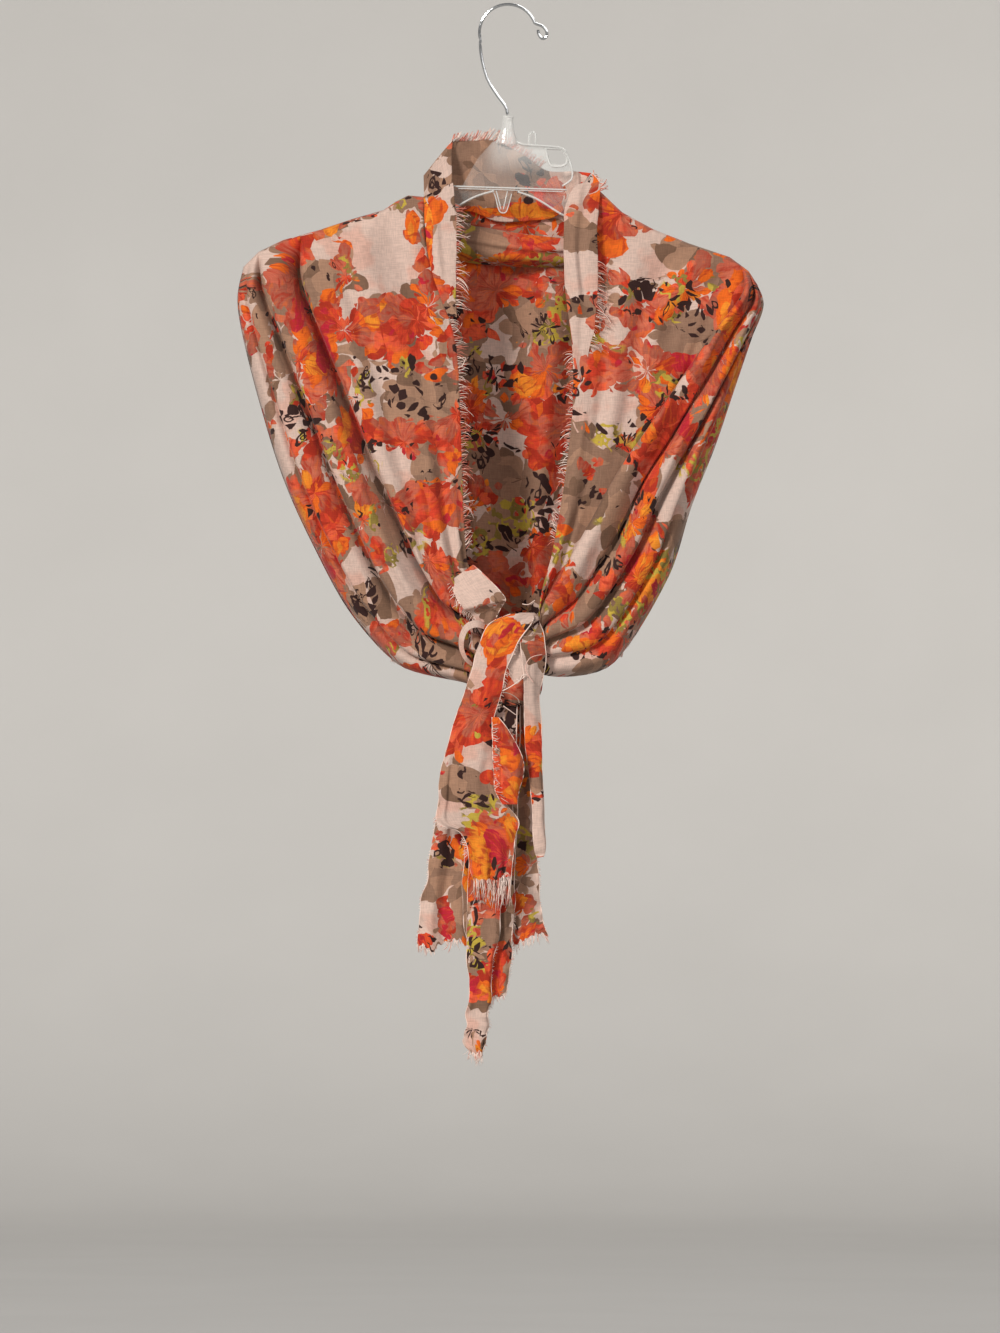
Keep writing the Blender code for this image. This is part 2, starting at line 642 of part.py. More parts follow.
def turned(name, rings, squash, segments=20):
    """A closed turned solid about Z, made shallower in Y."""
    points, faces = [], [list(range(segments))]
    for ring in rings:
        for k in range(segments):
            angle = 2 * math.pi * k / segments
            x, y = ring.radius * math.cos(angle), ring.radius * squash * math.sin(angle)
            points.append((x, y, ring.z))
    for i in range(len(rings) - 1):
        for k in range(segments):
            a, b = i * segments + k, i * segments + (k + 1) % segments
            faces.append([a, b, b + segments, a + segments])
    faces.append([(len(rings) - 1) * segments + k for k in range(segments)])
    mesh = bpy.data.meshes.new(name)
    mesh.from_pydata(points, [], faces)
    shape = bmesh.new()
    shape.from_mesh(mesh)
    bmesh.ops.recalc_face_normals(shape, faces=shape.faces)
    shape.to_mesh(mesh)
    shape.free()
    made = bpy.data.objects.new(name, mesh)
    bpy.context.scene.collection.objects.link(made)
    return made


def combine(base, other, operation):
    """Joins or cuts with an exact Boolean, and removes the other object."""
    modifier = base.modifiers.new("combine", "BOOLEAN")
    modifier.operation = operation
    modifier.object = other
    modifier.solver = "EXACT"
    modifier.use_self = True
    with bpy.context.temp_override(object=base, active_object=base):
        bpy.ops.object.modifier_apply(modifier=modifier.name)
    bpy.data.objects.remove(other)


def arm_outlines(side):
    """The outlines of one arm's web, upper flange and lower flange."""
    upper = read_rows(ARM_TOP, np.linspace(0, 1, 13)) * (side, 1)
    lower = upper - (0, ARM_HEIGHT)
    lower[-3:, 1] += (1, 5, 15)
    top_line = [(side * 41.6, CROSSBAR_Z - 0.7)] + [tuple(point) for point in upper[1:]]
    low_line = [(side * 10, CROSSBAR_Z - 2.5), (side * 26, CROSSBAR_Z - 8)]
    low_line += [tuple(point) for point in lower]
    web = [(side * 9, CROSSBAR_Z - 0.6)] + top_line + low_line[::-1]
    if side < 0:
        top_line, low_line = top_line[::-1], low_line[::-1]
    return web, band(top_line, FLANGE), band(low_line, FLANGE)


def hanger_body(finish):
    """The moulded hanger: webs and flanges of both arms, hub, window, tongue, neck cone and loop.
    Each prism has its own depth, so that no two faces lie in one plane."""
    hub = HUB_RIGHT + [Line(49, CROSSBAR_Z - 1.2), Line(-38, CROSSBAR_Z - 0.9)] + HUB_LEFT[::-1]
    pieces = [prism("hub", hub, WEB_HALF + 0.3)]
    for side in (-1, 1):
        web, top_flange, low_flange = arm_outlines(side)
        pieces.append(prism("web", web, WEB_HALF + 0.05 * side))
        pieces.append(prism("flange", top_flange, FLANGE_HALF + 0.05 * side))
        pieces.append(prism("flange", low_flange, FLANGE_HALF - 0.2 + 0.05 * side))
    crossbar = band([(-44.3, CROSSBAR_Z + 0.3), (51.4, CROSSBAR_Z + 0.37)], FLANGE)
    pieces.append(prism("crossbar", crossbar, FLANGE_HALF + 0.2))
    pieces.append(prism("hub_rim", band(HUB_RIGHT, FLANGE), FLANGE_HALF - 0.5))
    pieces.append(prism("tongue", TONGUE, WEB_HALF + 0.6))
    arc = np.linspace(np.pi, 0, 9)
    loop_x = SIZE_LOOP_X + SIZE_LOOP_RADIUS * np.cos(arc)
    loop_z = SIZE_LOOP_Z + 1.5 * SIZE_LOOP_RADIUS * np.sin(arc)
    loop = [(loop_x[0], -117.1), *zip(loop_x, loop_z), (loop_x[-1], -117.2)]
    pieces.append(prism("size_loop", band(loop, 1.2), WEB_HALF - 0.2))
    pieces.append(turned("neck_cone", NECK_CONE, NECK_CONE_DEPTH))
    body = pieces[0]
    combine(body, prism("window", WINDOW, 2 * FLANGE_HALF), "DIFFERENCE")
    for piece in pieces[1:]:
        combine(body, piece, "UNION")
    mesh = body.data
    points = np.array([vertex.co for vertex in mesh.vertices])
    z = points[:, 2] - HANGER_PIVOT_Z
    x = points[:, 0] * math.cos(HANGER_TILT) - z * math.sin(HANGER_TILT)
    z = points[:, 0] * math.sin(HANGER_TILT) + z * math.cos(HANGER_TILT) + HANGER_PIVOT_Z
    for vertex, place in zip(mesh.vertices, np.stack([x, points[:, 1], z], axis=1) * MM):
        vertex.co = place
    body.name = "hanger_body"
    mesh.set_sharp_from_angle(angle=math.radians(35))
    mesh.materials.append(finish)


def hook(finish):
    """The wire hook: a round part, a long bend down to the neck and a small open eye at its end."""
    centre_z = WIRE_RADIUS - HOOK_RADIUS
    turn = np.radians(np.linspace(20, 198, 22))
    arc = np.stack([HOOK_RADIUS * np.cos(turn), centre_z + HOOK_RADIUS * np.sin(turn)], axis=1)
    eye = read_rows(HOOK_EYE, np.linspace(0, 1, 16))[::-1]
    bend = read_rows(HOOK_BEND, np.linspace(0, 1, 14))
    route = np.concatenate([eye, arc, bend])
    curve = bpy.data.curves.new("hook", "CURVE")
    curve.dimensions = "3D"
    curve.bevel_depth = WIRE_RADIUS * MM
    curve.bevel_resolution = 2
    curve.use_fill_caps = True
    spline = curve.splines.new("POLY")
    spline.points.add(len(route) - 1)
    for point, (x, z) in zip(spline.points, route * MM):
        point.co = (x, 0, z, 1)
    add_object("hook", curve, finish)


# ------------------------------------------------------------------------------------------- build


def build_panels(cloth):
    seams = {"level": ("first", "far"), "square": ("last",)}
    left = front_sheet(LEFT_FRONT, LEFT_SHOULDER, LEFT_PLEATS, -1)
    right = front_sheet(RIGHT_FRONT, RIGHT_SHOULDER, RIGHT_PLEATS, 1)
    wall("left_front", left, cloth["coral"], **seams)
    wall("right_front", right, cloth["coral"], **seams)
    wall("back_panel", back_sheet(), cloth["taupe"], level=("first", "near", "far"))
    fringe("left_edge_fringe", left[9:20, 0], left[9:20, 1], 7.0, cloth["thread"])
    fringe("right_edge_fringe", right[12:20, 0], right[12:20, 1], 5.0, cloth["thread"])


def build_neck(cloth):
    collar = ribbon(COLLAR, 19, 5)
    left = ribbon(LEFT_LAPEL, 13, 5)
    right = ribbon(RIGHT_LAPEL, 14, 5)
    wall("collar", collar, cloth["taupe"])
    wall("neck_roll", ribbon(NECK_ROLL, 10, 9), cloth["coral"])
    wall("left_lapel", left, cloth["pale"])
    wall("right_lapel", right, cloth["pale"])
    fringe("collar_fringe", collar[5:15, 0], collar[5:15, 1], 7.0, cloth["thread"])
    fringe("left_lapel_fringe", left[2:12, -1], left[2:12, -2], 7.0, cloth["thread"])
    fringe("right_lapel_fringe", right[7:12, -1], right[7:12, -2], 10.0, cloth["thread"])


def build_tails(cloth):
    front = ribbon(TAIL_FRONT, 17, 8, Corrugation(2, 1.0))
    ruffle = ribbon(TAIL_RUFFLE, 9, 6)
    long_front = ribbon(TAIL_LONG_FRONT, 14, 7, Corrugation(1, 1.0))
    long_back = ribbon(TAIL_LONG_BACK, 12, 7, Corrugation(1.5, 1.0))
    back = ribbon(TAIL_BACK, 10, 15, Corrugation(3.5, 2.2))
    top = {"upright": ("first",)}
    wall("tail_front", front, cloth["coral"], **top)
    wall("tail_ruffle", ruffle, cloth["coral"])
    wall("tail_right", ribbon(TAIL_RIGHT, 10, 5), cloth["pale"], **top)
    wall("tail_long_front", long_front, cloth["taupe"], **top)
    wall("tail_long_back", long_back, cloth["taupe"], **top)
    wall("tail_back", back, cloth["taupe"], **top)
    fringe("tail_front_fringe", front[-1], (0, 0, -1), 26.0, cloth["thread"])
    fringe("tail_back_fringe", back[-1], (0, 0, -1), 8.0, cloth["thread"])
    fringe("tail_long_front_fringe", long_front[-1], (0, 0, -1), 9.0, cloth["thread"])
    fringe("tail_long_back_fringe", long_back[-1], (0, 0, -1), 8.0, cloth["thread"])


def main():
    for old in list(bpy.data.objects):
        bpy.data.objects.remove(old)
    cloth = {
        "coral": material("coral_gauze", (0.66, 0.11, 0.05), 0.85),
        "taupe": material("taupe_gauze", (0.28, 0.20, 0.16), 0.85),
        "pale": material("pale_gauze", (0.74, 0.54, 0.48), 0.85),
        "thread": material("fringe_thread", (0.78, 0.60, 0.54), 0.9),
    }
    build_panels(cloth)
    build_neck(cloth)
    knot(cloth["coral"])
    wall("knot_flap", ribbon(KNOT_FLAP, 10, 6), cloth["pale"])
    wall("knot_loop", ribbon(KNOT_LOOP, 13, 3), cloth["pale"])
    build_tails(cloth)
    hanger_body(material("clear_plastic", (0.92, 0.94, 0.95), 0.08, 0.0, 0.9))
    hook(material("chrome_wire", (0.75, 0.76, 0.78), 0.15, 1.0))


main()
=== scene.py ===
"""The gauze scarf's looks: fine cloth with its folds, fringe and print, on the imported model.

Tables are in millimetres where nothing else is said, with +X to the right, -Y to the front and +Z up,
as in the part. Left and right are the viewer's.
"""

import math
from collections import namedtuple

import bmesh
import bpy
import numpy as np
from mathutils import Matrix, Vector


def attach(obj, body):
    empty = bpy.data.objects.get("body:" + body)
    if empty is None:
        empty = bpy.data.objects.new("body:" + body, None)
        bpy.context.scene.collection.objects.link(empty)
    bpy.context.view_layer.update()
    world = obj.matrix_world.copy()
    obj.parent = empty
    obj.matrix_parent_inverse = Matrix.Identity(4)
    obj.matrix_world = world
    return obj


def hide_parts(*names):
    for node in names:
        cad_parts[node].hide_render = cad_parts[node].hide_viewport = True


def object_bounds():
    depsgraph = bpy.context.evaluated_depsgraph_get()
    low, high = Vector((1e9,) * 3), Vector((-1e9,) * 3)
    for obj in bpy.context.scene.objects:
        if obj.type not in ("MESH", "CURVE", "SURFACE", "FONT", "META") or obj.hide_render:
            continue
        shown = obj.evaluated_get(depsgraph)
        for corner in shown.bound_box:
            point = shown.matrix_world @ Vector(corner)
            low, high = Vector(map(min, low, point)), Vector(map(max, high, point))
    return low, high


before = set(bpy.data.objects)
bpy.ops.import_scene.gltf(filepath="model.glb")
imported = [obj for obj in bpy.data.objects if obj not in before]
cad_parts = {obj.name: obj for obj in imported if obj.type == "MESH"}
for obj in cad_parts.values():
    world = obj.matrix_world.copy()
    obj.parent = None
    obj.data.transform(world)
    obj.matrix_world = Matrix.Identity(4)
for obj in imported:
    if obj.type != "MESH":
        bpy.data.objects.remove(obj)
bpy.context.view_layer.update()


def table(row, rows):
    """Plain rows, with the named columns of row."""
    return [row(*values) for values in rows]


MM = 0.001
CLOTH = 0.5  # thickness of the gauze
ARM_ROLL = 8.0  # radius at which the cloth turns over the hanger's arms
RAY = 400.0  # a fold's usual length, from the shoulder to the knot
SIDE_TURN = 0.11  # share of a front's width in which it turns round to the back
BACK_TURN = 0.06  # the same for the back
ROW_CROWDING = 1.7  # rows crowd together at the shoulder by this power
PRINT_UNIT = 100.0  # millimetres of cloth to one unit of the print
PART_ROWS = 21  # the rows that the part has down a front
SIDE_ENDS = (19 / PART_ROWS) ** ROW_CROWDING  # how far down a front its side meets the back
HEM_START = 0.80  # how far down a front its free hem starts
FRONT_ROWS = 130
COLUMN_STEP = 1.9  # about how far apart a front's columns are
BACK_ROWS = 110
BACK_COLUMNS = 150
BACK_WIDTH = 400.0  # the back's usual width, for its creases
FRONT_WIDTH = 170.0  # a front's usual width, for its ripples
SMOOTH_TOP = 0.05  # creases are at their full height this far down a front, and twice as far down the back

# Soft ripples all over a panel: how high they are, and how long across it and down it.
Ripple = namedtuple("Ripple", "height across down")
FRONT_RIPPLE = Ripple(1.1, 13, 90)
FRONT_FINE_RIPPLE = Ripple(0.45, 5, 45)
BACK_RIPPLE = Ripple(0.8, 16, 80)

# A front's rows, from the shoulder down: its outer and inner ends, how far it stands out between them,
# and how far forward its side lies.
Front = namedtuple("Front", "outer_x outer_z inner_x inner_z depth side")
LEFT_FRONT = table(Front, [
    (-222.6, -220.1, -69.7, -161.3, 0, 0),
    (-227.6, -248.6, -68.9, -198.2, 6, 2),
    (-220.9, -288.1, -57.1, -237.7, 14, 4),
    (-206.6, -342.7, -43.7, -286.4, 21, 6),
    (-189, -398.2, -40.3, -336.8, 27, 8),
    (-164.6, -452.8, -38.6, -387.2, 31, 10),
    (-131, -513.2, -37, -433.4, 34, 14),
    (-86.5, -558.6, -34, -471.2, 35, 22),
    (-37, -572.5, -27, -508, 35, 37),
])
RIGHT_FRONT = table(Front, [
    (210, -235.2, 75.6, -154.6, 0, 0),
    (215, -252.8, 50.5, -194, 6, 2),
    (205, -280.6, 48.7, -240.2, 14, 4),
    (190.7, -322.6, 53.8, -286.4, 21, 6),
    (173.9, -372.1, 54.6, -332.6, 27, 8),
    (154.6, -420.8, 50.4, -378.8, 31, 10),
    (132.5, -486, 43.7, -425, 34, 14),
    (83, -558.5, 36.1, -467, 35, 22),
    (30, -562, 28, -516, 35, 37),
])

# The shoulder lines, from the neck out to the tip.
Line = namedtuple("Line", "x z")
LEFT_SHOULDER = table(Line, [
    (-69.7, -161.3), (-84, -159.9), (-94.9, -165.5), (-104.2, -172.2), (-131, -179.8), (-161.3, -189.8),
    (-189, -197.4), (-210, -207.5), (-222.6, -220.1),
])
RIGHT_SHOULDER = table(Line, [
    (75.6, -154.6), (95.8, -173.9), (121.8, -188.2), (153.7, -200.8), (186.5, -211.7), (202.4, -223.4),
    (210, -235.2),
])
SHOULDER_FADE = 3  # the shoulder line's shape dies out down the front by this power

# Where each fold's crest and foot lie across a front, from the opening (0) to the side (1), at four
# places from the shoulder to the knot, and how far each stands out. edge says that the cloth laps
# over between this one and the next.
Turn = namedtuple("Turn", "top upper lower end height edge")
LEFT_PLEATS = table(Turn, [
    (0, 0, 0, 0, 0, False),
    (0.62, 0.585, 0.435, 0.34, 7, True),
    (0.66, 0.605, 0.455, 0.38, -5.5, False),
    (0.87, 0.775, 0.69, 0.62, 6.5, True),
    (0.9, 0.8, 0.72, 0.67, -3, False),
    (0.945, 0.905, 0.88, 0.84, 4, True),
    (0.965, 0.925, 0.905, 0.88, -1, False),
    (1, 1, 1, 1, 0, False),
])
RIGHT_PLEATS = table(Turn, [
    (0, 0, 0, 0, 0, False),
    (0.86, 0.725, 0.335, 0.13, -3, True),
    (0.88, 0.75, 0.36, 0.18, 7.5, False),
    (0.905, 0.83, 0.53, 0.32, 3, True),
    (0.915, 0.845, 0.555, 0.36, -2.5, False),
    (0.945, 0.92, 0.7, 0.5, 6.5, True),
    (0.955, 0.935, 0.725, 0.55, -1.5, False),
    (0.975, 0.97, 0.86, 0.7, 3.5, True),
    (0.985, 0.98, 0.885, 0.75, -1, False),
    (1, 1, 1, 1, 0, False),
])
PLEAT_START = 0.12  # the pleats reach their full depth this far down a front
GATHER_START = 0.75  # and close up from here to the knot
GATHERED_HEIGHT = 0.6  # at the knot they keep this share of their depth
PLEAT_WOBBLE = 1.3  # a pleat's crest and foot wobble by these millimetres
SWELL = 0.10  # the cloth between two pleats swells by this share of its width
ROLLED = 2.2  # how sharply it turns down again under a pleat's lap
FOLD_DEPTH = 1.9  # the fine folds are this much deeper than the part's
NEAR_KNOT = 0.86  # from here down, the fronts close in on the knot's sides

# The way from a fold's crest to its foot: out past the crest, back in under it, and out again. out is
# in millimetres beyond the straight way, and drop is the share of the depth.
Lap = namedtuple("Lap", "out drop")
LAP = table(Lap, [
    (0, 0), (1.1, 0.07), (1.7, 0.24), (1, 0.48), (-1.4, 0.7), (-2.9, 0.9), (-2.2, 1.03), (0, 1),
])
LAP_STEPS = 12
LAP_DEPTH = 12.0  # the depth between crest and foot at which the lap has this size

# The back's upper edge across the neck, from the left shoulder line to the right.
Neck = namedtuple("Neck", "x y z")
NECK_LINE = table(Neck, [
    (-56, 9.5, -166), (-38, 18.5, -172), (-26, 23, -173), (-9, 27.6, -173), (6, 28.8, -173),
    (20, 28.5, -172.5), (42, 21.3, -169), (58, 12.5, -163),
])
NECK_ROLL_END = 10.0  # where the upper edge lies this far back, it no longer turns over an arm
Depth = namedtuple("Depth", "side_part middle_part")
BACK_DEPTH = table(Depth, [(0, 0), (11, 4), (17, 6), (20, 8), (19, 9), (14, 8)])
HEM_SAG = 14.0  # how far the middle of the back's hem hangs down
HEM_WAVE = 3.0

# A soft crease runs from one place on a panel to another, each given across it and down it from 0 to
# 1. Its width is half of how wide it looks, and its height is below 0 for a trough.
Crease = namedtuple("Crease", "across down end_across end_down width height")
LEFT_CREASES = table(Crease, [
    (0.06, 0.02, 0.1, 0.6, 8, 2.6),
    (0.2, 0, 0.12, 0.44, 7, -2.6),
    (0.33, 0, 0.24, 0.7, 10, 3.6),
    (0.46, 0.04, 0.3, 0.98, 6, -3.4),
    (0.52, 0.2, 0.36, 1, 6, 2.6),
    (0.2, 0.4, 0.2, 1, 4.5, 2.6),
    (0.13, 0.5, 0.13, 1, 3.5, -2.4),
    (0.07, 0.58, 0.06, 1, 3, 2),
    (0.25, 0.6, 0.26, 1, 3, -2.2),
    (0.72, 0.1, 0.52, 0.95, 4, 2.6),
    (0.78, 0.14, 0.58, 0.92, 3.5, -3.2),
    (0.84, 0.26, 0.66, 1, 4, 2.2),
    (0.92, 0.16, 0.78, 0.98, 3.5, -2.6),
    (0.95, 0.05, 0.97, 0.75, 6, 2.4),
    (0.99, 0.4, 0.95, 1, 4, 2),
    (0.4, 0.62, 0.33, 1, 2.5, -1.8),
])
RIGHT_CREASES = table(Crease, [
    (0.1, 0, 0.1, 0.55, 8, 2.8),
    (0.24, 0, 0.16, 0.66, 7, -3),
    (0.37, 0, 0.24, 0.74, 10, 3.6),
    (0.52, 0.02, 0.3, 0.66, 7, -3.2),
    (0.66, 0.03, 0.38, 0.5, 8, 3.2),
    (0.8, 0.05, 0.52, 0.34, 7, -2.4),
    (0.1, 0.5, 0.05, 1, 4, 2.2),
    (0.18, 0.6, 0.1, 1, 3.5, -2),
    (0.79, 0.14, 0.44, 0.95, 3.5, -2.6),
    (0.86, 0.1, 0.66, 0.92, 4, 2.6),
    (0.9, 0.22, 0.62, 1, 4, -2.6),
    (0.96, 0.1, 0.86, 0.96, 4.5, 2.6),
    (0.99, 0.35, 0.95, 1, 4, -2),
    (0.94, 0.5, 0.8, 1, 3, -2),
])
BACK_CREASES = table(Crease, [
    (0.1, 0, 0.2, 0.95, 16, 6.4),
    (0.2, 0.06, 0.3, 1, 11, -5.8),
    (0.3, 0, 0.38, 1, 15, 7),
    (0.41, 0.12, 0.44, 0.98, 10, -5.1),
    (0.5, 0.04, 0.52, 1, 17, 5.8),
    (0.61, 0.1, 0.6, 1, 10, -5.4),
    (0.7, 0, 0.66, 0.96, 14, 6.7),
    (0.8, 0.05, 0.74, 1, 11, -5.8),
    (0.91, 0, 0.82, 0.95, 15, 6.1),
    (0.36, 0.45, 0.34, 1, 6, 3.8),
    (0.56, 0.55, 0.55, 1, 6, 3.5),
    (0.46, 0.02, 0.42, 0.3, 7, 2.6),
    (0.58, 0.02, 0.6, 0.26, 6, -2.4),
])

RIDGE_GROWTH = 0.22  # a ridge rises or dies out in this share of a ribbon's length
RIDGE_LEAN = 0.5  # a ridge leans over to one side by this share of its height
RIDGE_WOBBLE = 1.5  # its line wobbles by these millimetres
RIDGE_UNEVEN = 0.4  # and its height varies by this share

# A ribbon's rows give its two edges, and how far it bulges forward between them.
Rib = namedtuple("Rib", "a_x a_y a_z b_x b_y b_z bulge")
COLLAR = table(Rib, [
    (-71, -3, -143, -70.6, -8.7, -163, 0),
    (-60, 6, -129, -58.5, -7.4, -157.5, 0),
    (-48, 16, -114, -47, -6, -151.5, 0),
    (-46, 17.5, -113.4, -63, -1.5, -164, 0),
    (-44, 19, -113, -58, 8.5, -167, 0),
    (-41, 20.5, -112.8, -47, 14, -172, 0),
    (-30, 25, -112.5, -29.5, 17, -173, 2),
    (-12, 28, -113, -9, 22, -181, 3),
    (12, 28, -124, 19, 23, -180.5, 3),
    (33, 22, -138, 42, 16, -176, 2),
    (56, 10, -139.5, 58, 8, -156, 0),
    (70, 1.5, -141, 62, 1.8, -151.5, 0),
])
NECK_ROLL = table(Rib, [
    (-60, 12.8, -181.5, -60, 21, -210, 9),
    (-28, 18.9, -185, -30, 26, -216, 13),
    (10, 24.5, -191, 8, 30, -219, 16),
    (44, 21.8, -195, 42, 27, -219, 13),
    (62, 19, -196, 62, 23.2, -216, 9),
])
LEFT_LAPEL = table(Rib, [
    (-70.9, -9.9, -161, -46.2, -7.3, -149.3, 0),
    (-70.5, -11.8, -170, -44.4, -13.5, -166, 1),
    (-69.2, -14.8, -187, -43.5, -17.5, -186, 2),
    (-67.8, -18.4, -208, -43, -21.5, -207, 2),
    (-62.8, -23.6, -230, -43.7, -25, -229, 2),
    (-56, -26.4, -247, -43.8, -27, -246, 1),
    (-49.5, -28.4, -262, -42.5, -28.6, -263, 0),
])
RIGHT_LAPEL = table(Rib, [
    (62.6, 0.9, -151.9, 70.7, 0.6, -141.5, 0),
    (57, -7, -151.5, 76.3, -5.5, -147.5, 0),
    (50.5, -12, -161, 77, -10.5, -158, 1),
    (47.3, -15.5, -178, 75.8, -14.8, -176, 2),
    (46.2, -19.5, -206, 75.6, -19.5, -206, 2),
    (48.7, -25, -240, 75.6, -25, -240, 2),
    (51.9, -29.4, -266, 73.2, -29.4, -266, 1),
    (55.2, -32.6, -292, 68.4, -32.6, -292, 0),
    (61, -35.6, -321, 63.6, -35.6, -321, 0),
])
KNOT_FLAP = table(Rib, [
    (-47.5, -49, -484, -29.4, -49.3, -471.2, 0),
    (-45.5, -52.5, -494, -17, -54, -482.5, 2.5),
    (-41, -56.5, -503, -5, -59, -495.5, 3.5),
    (-36.5, -58, -508.5, -2.5, -60.5, -500.5, 3.5),
    (-34, -54.5, -509.5, -4, -57, -504, 1.5),
    (-30, -52.5, -513, -7.5, -54, -511, 1),
    (-25, -52, -521, -12, -52.5, -522, 0),
])
KNOT_LOOP = table(Rib, [
    (-16.9, -51.5, -522.3, -17.1, -54, -526.4, 0),
    (-25.5, -57, -517.8, -26, -58.5, -523.8, 0),
    (-35, -57, -520.6, -33, -59, -526.4, 0),
    (-40.6, -56.5, -530, -36.4, -59, -533.4, 0),
    (-40.8, -56, -541.5, -37, -58.5, -541, 0),
    (-36.6, -55, -551, -34.2, -57, -548.6, 0),
    (-30.5, -51.5, -556.4, -29.5, -53, -553.4, 0),
])

# The knot's wound body, by its sides, front and back at each height.
Knot = namedtuple("Knot", "z left right front back")
KNOT = table(Knot, [
    (-511.5, 10, 22, -49, -40),
    (-514, 2, 25, -53, -36),
    (-518, -13, 27, -56, -33),
    (-528, -19, 29, -59, -30),
    (-540, -25, 30, -61, -28),
    (-553, -29, 30, -61, -27),
    (-566, -33, 29, -60, -27),
    (-577, -35, 28, -59, -28),
    (-584, -31, 24, -55, -31),
    (-589, -24, 18, -51, -36),
])
KNOT_TOP = -520.0  # the height at which its sides have become upright
KNOT_SQUARENESS = 3.0
KNOT_ROWS = 90
KNOT_COLUMNS = 150

# The clear hanger's moulded edges, before it is tilted as in the part: each line's radius, and the x, y
# and z of the places that it passes. The rims are real moulding; their milky, nearly opaque finish is a
# painted highlight, the white lines that clear edges show only where they catch the light.
HANGER_TILT = math.radians(-1.8)
HANGER_PIVOT_Z = -100.0
EDGE_STEPS = 40
Moulding = namedtuple("Moulding", "radius places")
HANGER_EDGES = table(Moulding, [
    (0.8, [(8, -2.6, -113.9), (14, -2.8, -116.4), (43.6, -2.8, -117.9), (50, -2.8, -122.6)]),
    (0.8, [(50, -2.8, -122.6), (54.6, -2.8, -134), (55.1, -2.8, -144), (47.4, -3.2, -150.4)]),
    (1, [(32.2, -1.6, -119), (45.5, -1.6, -119.5), (50.5, -1.6, -124.6), (50.5, -1.6, -131)]),
    (1, [(50.5, -1.6, -131), (46.4, -1.6, -133.6), (36.8, -1.6, -132.6), (32.2, -1.6, -119)]),
    (0.7, [(-44, -3.8, -153.5), (51.2, -3.8, -153.5)]),
    (0.4, [(-40, -3.2, -155.2), (49, -3.2, -155.2)]),
    (0.8, [(10, -3.4, -156.3), (26, -3.4, -161.8), (45, -3.4, -172.8), (50, -3.4, -175.1)]),
    (0.8, [(-10, -3.4, -156.3), (-26, -3.4, -161.8), (-45, -3.4, -172.8), (-50, -3.4, -175.1)]),
    (0.5, [(-17, -1.7, -154.5), (-10, -1.7, -158.2), (-5.9, -1.7, -171), (-3.6, -1.7, -174.4)]),
    (0.5, [(-3.6, -1.7, -174.4), (-0.4, -1.7, -174.4), (1.9, -1.7, -171), (5, -1.7, -158.2)]),
    (0.5, [(-8, -1.9, -156), (-3.6, -1.9, -171.6)]),
    (0.5, [(1.4, -1.9, -156), (-1.6, -1.9, -171.6)]),
    (0.4, [(-4.2, 0, -93.4), (-4.1, 0, -97.5), (-5.1, 0, -104), (-7.5, 0, -111), (-8.9, 0, -116)]),
    (0.4, [(4.2, 0, -93.4), (4.1, 0, -97.5), (5.1, 0, -104), (7.5, 0, -111), (8.9, 0, -116)]),
    (0.35, [(0, -2.7, -97.5), (0, -3.2, -104), (0, -4.6, -111), (0, -5.5, -116)]),
    (0.6, [(-4, -1.5, -93.2), (0, -2.7, -93.2), (4, -1.5, -93.2)]),
    (0.7, [(17.9, 0, -117.2), (17.9, 0, -110), (18.9, 0, -106.6), (21, 0, -105.4)]),
    (0.7, [(21, 0, -105.4), (23.1, 0, -106.6), (24.1, 0, -110), (24.1, 0, -117.2)]),
])

TAIL_TOP = -577.3
TAIL_FRONT = table(Rib, [
    (2, -58, -512.5, 20, -55.5, -512, 1),
    (-16, -58.5, -521, 20.5, -60.5, -519, 2),
    (-24, -59, -539, 7.5, -62.6, -538, 2.5),
    (-29, -60, -557, 0, -62.8, -557, 2.5),
    (-36.3, -59.5, TAIL_TOP, -4.5, -61.5, TAIL_TOP, 2.5),
    (-46.2, -57, -607, -13, -58, -607, 2),
    (-52, -57, -631, -11.8, -58.5, -631, 2.5),
    (-56.3, -57, -649, -11, -58.5, -649, 2.5),
    (-58.8, -57, -668.6, -3.4, -58, -668.6, 2.5),
    (-59.6, -57, -687, 9, -57.5, -686, 2),
    (-39, -57, -696, 7, -57, -700, 2),
    (-32, -57, -719, 5, -57, -719, 2),
    (-30, -57, -734, 3.4, -57, -734, 1.5),
])
TAIL_RUFFLE = table(Rib, [
    (-13.4, -60.3, -599, -8, -60.5, -599, 0),
    (-13.4, -61, -612, 1.5, -61.4, -612, 2),
    (-12.6, -61.4, -632.5, 12.6, -62, -632.5, 4),
    (-12, -61.4, -648, 13.2, -62, -646, 4),
    (-11, -61, -660, 9.5, -61.4, -660, 3),
    (-5, -60.5, -672, 7.5, -61, -672, 0.5),
])
TAIL_RIGHT = table(Rib, [
    (13, -59, -519, 25.5, -52, -518, 0.5),
    (9.5, -62.6, -533, 30, -54, -531, 1.5),
    (11.8, -62.4, -552, 31.2, -55, -552, 1.5),
    (13.4, -60.5, TAIL_TOP, 27, -54, TAIL_TOP, 1.5),
    (13.8, -53, -607, 28.6, -52, -607, 1.5),
    (16, -53, -639, 29.4, -52, -639, 2),
    (20, -53, -680, 30.4, -52, -680, 2),
    (22, -53, -708, 31.5, -52, -706, 1.5),
    (25, -53, -717, 29.5, -52, -716, 0.5),
])
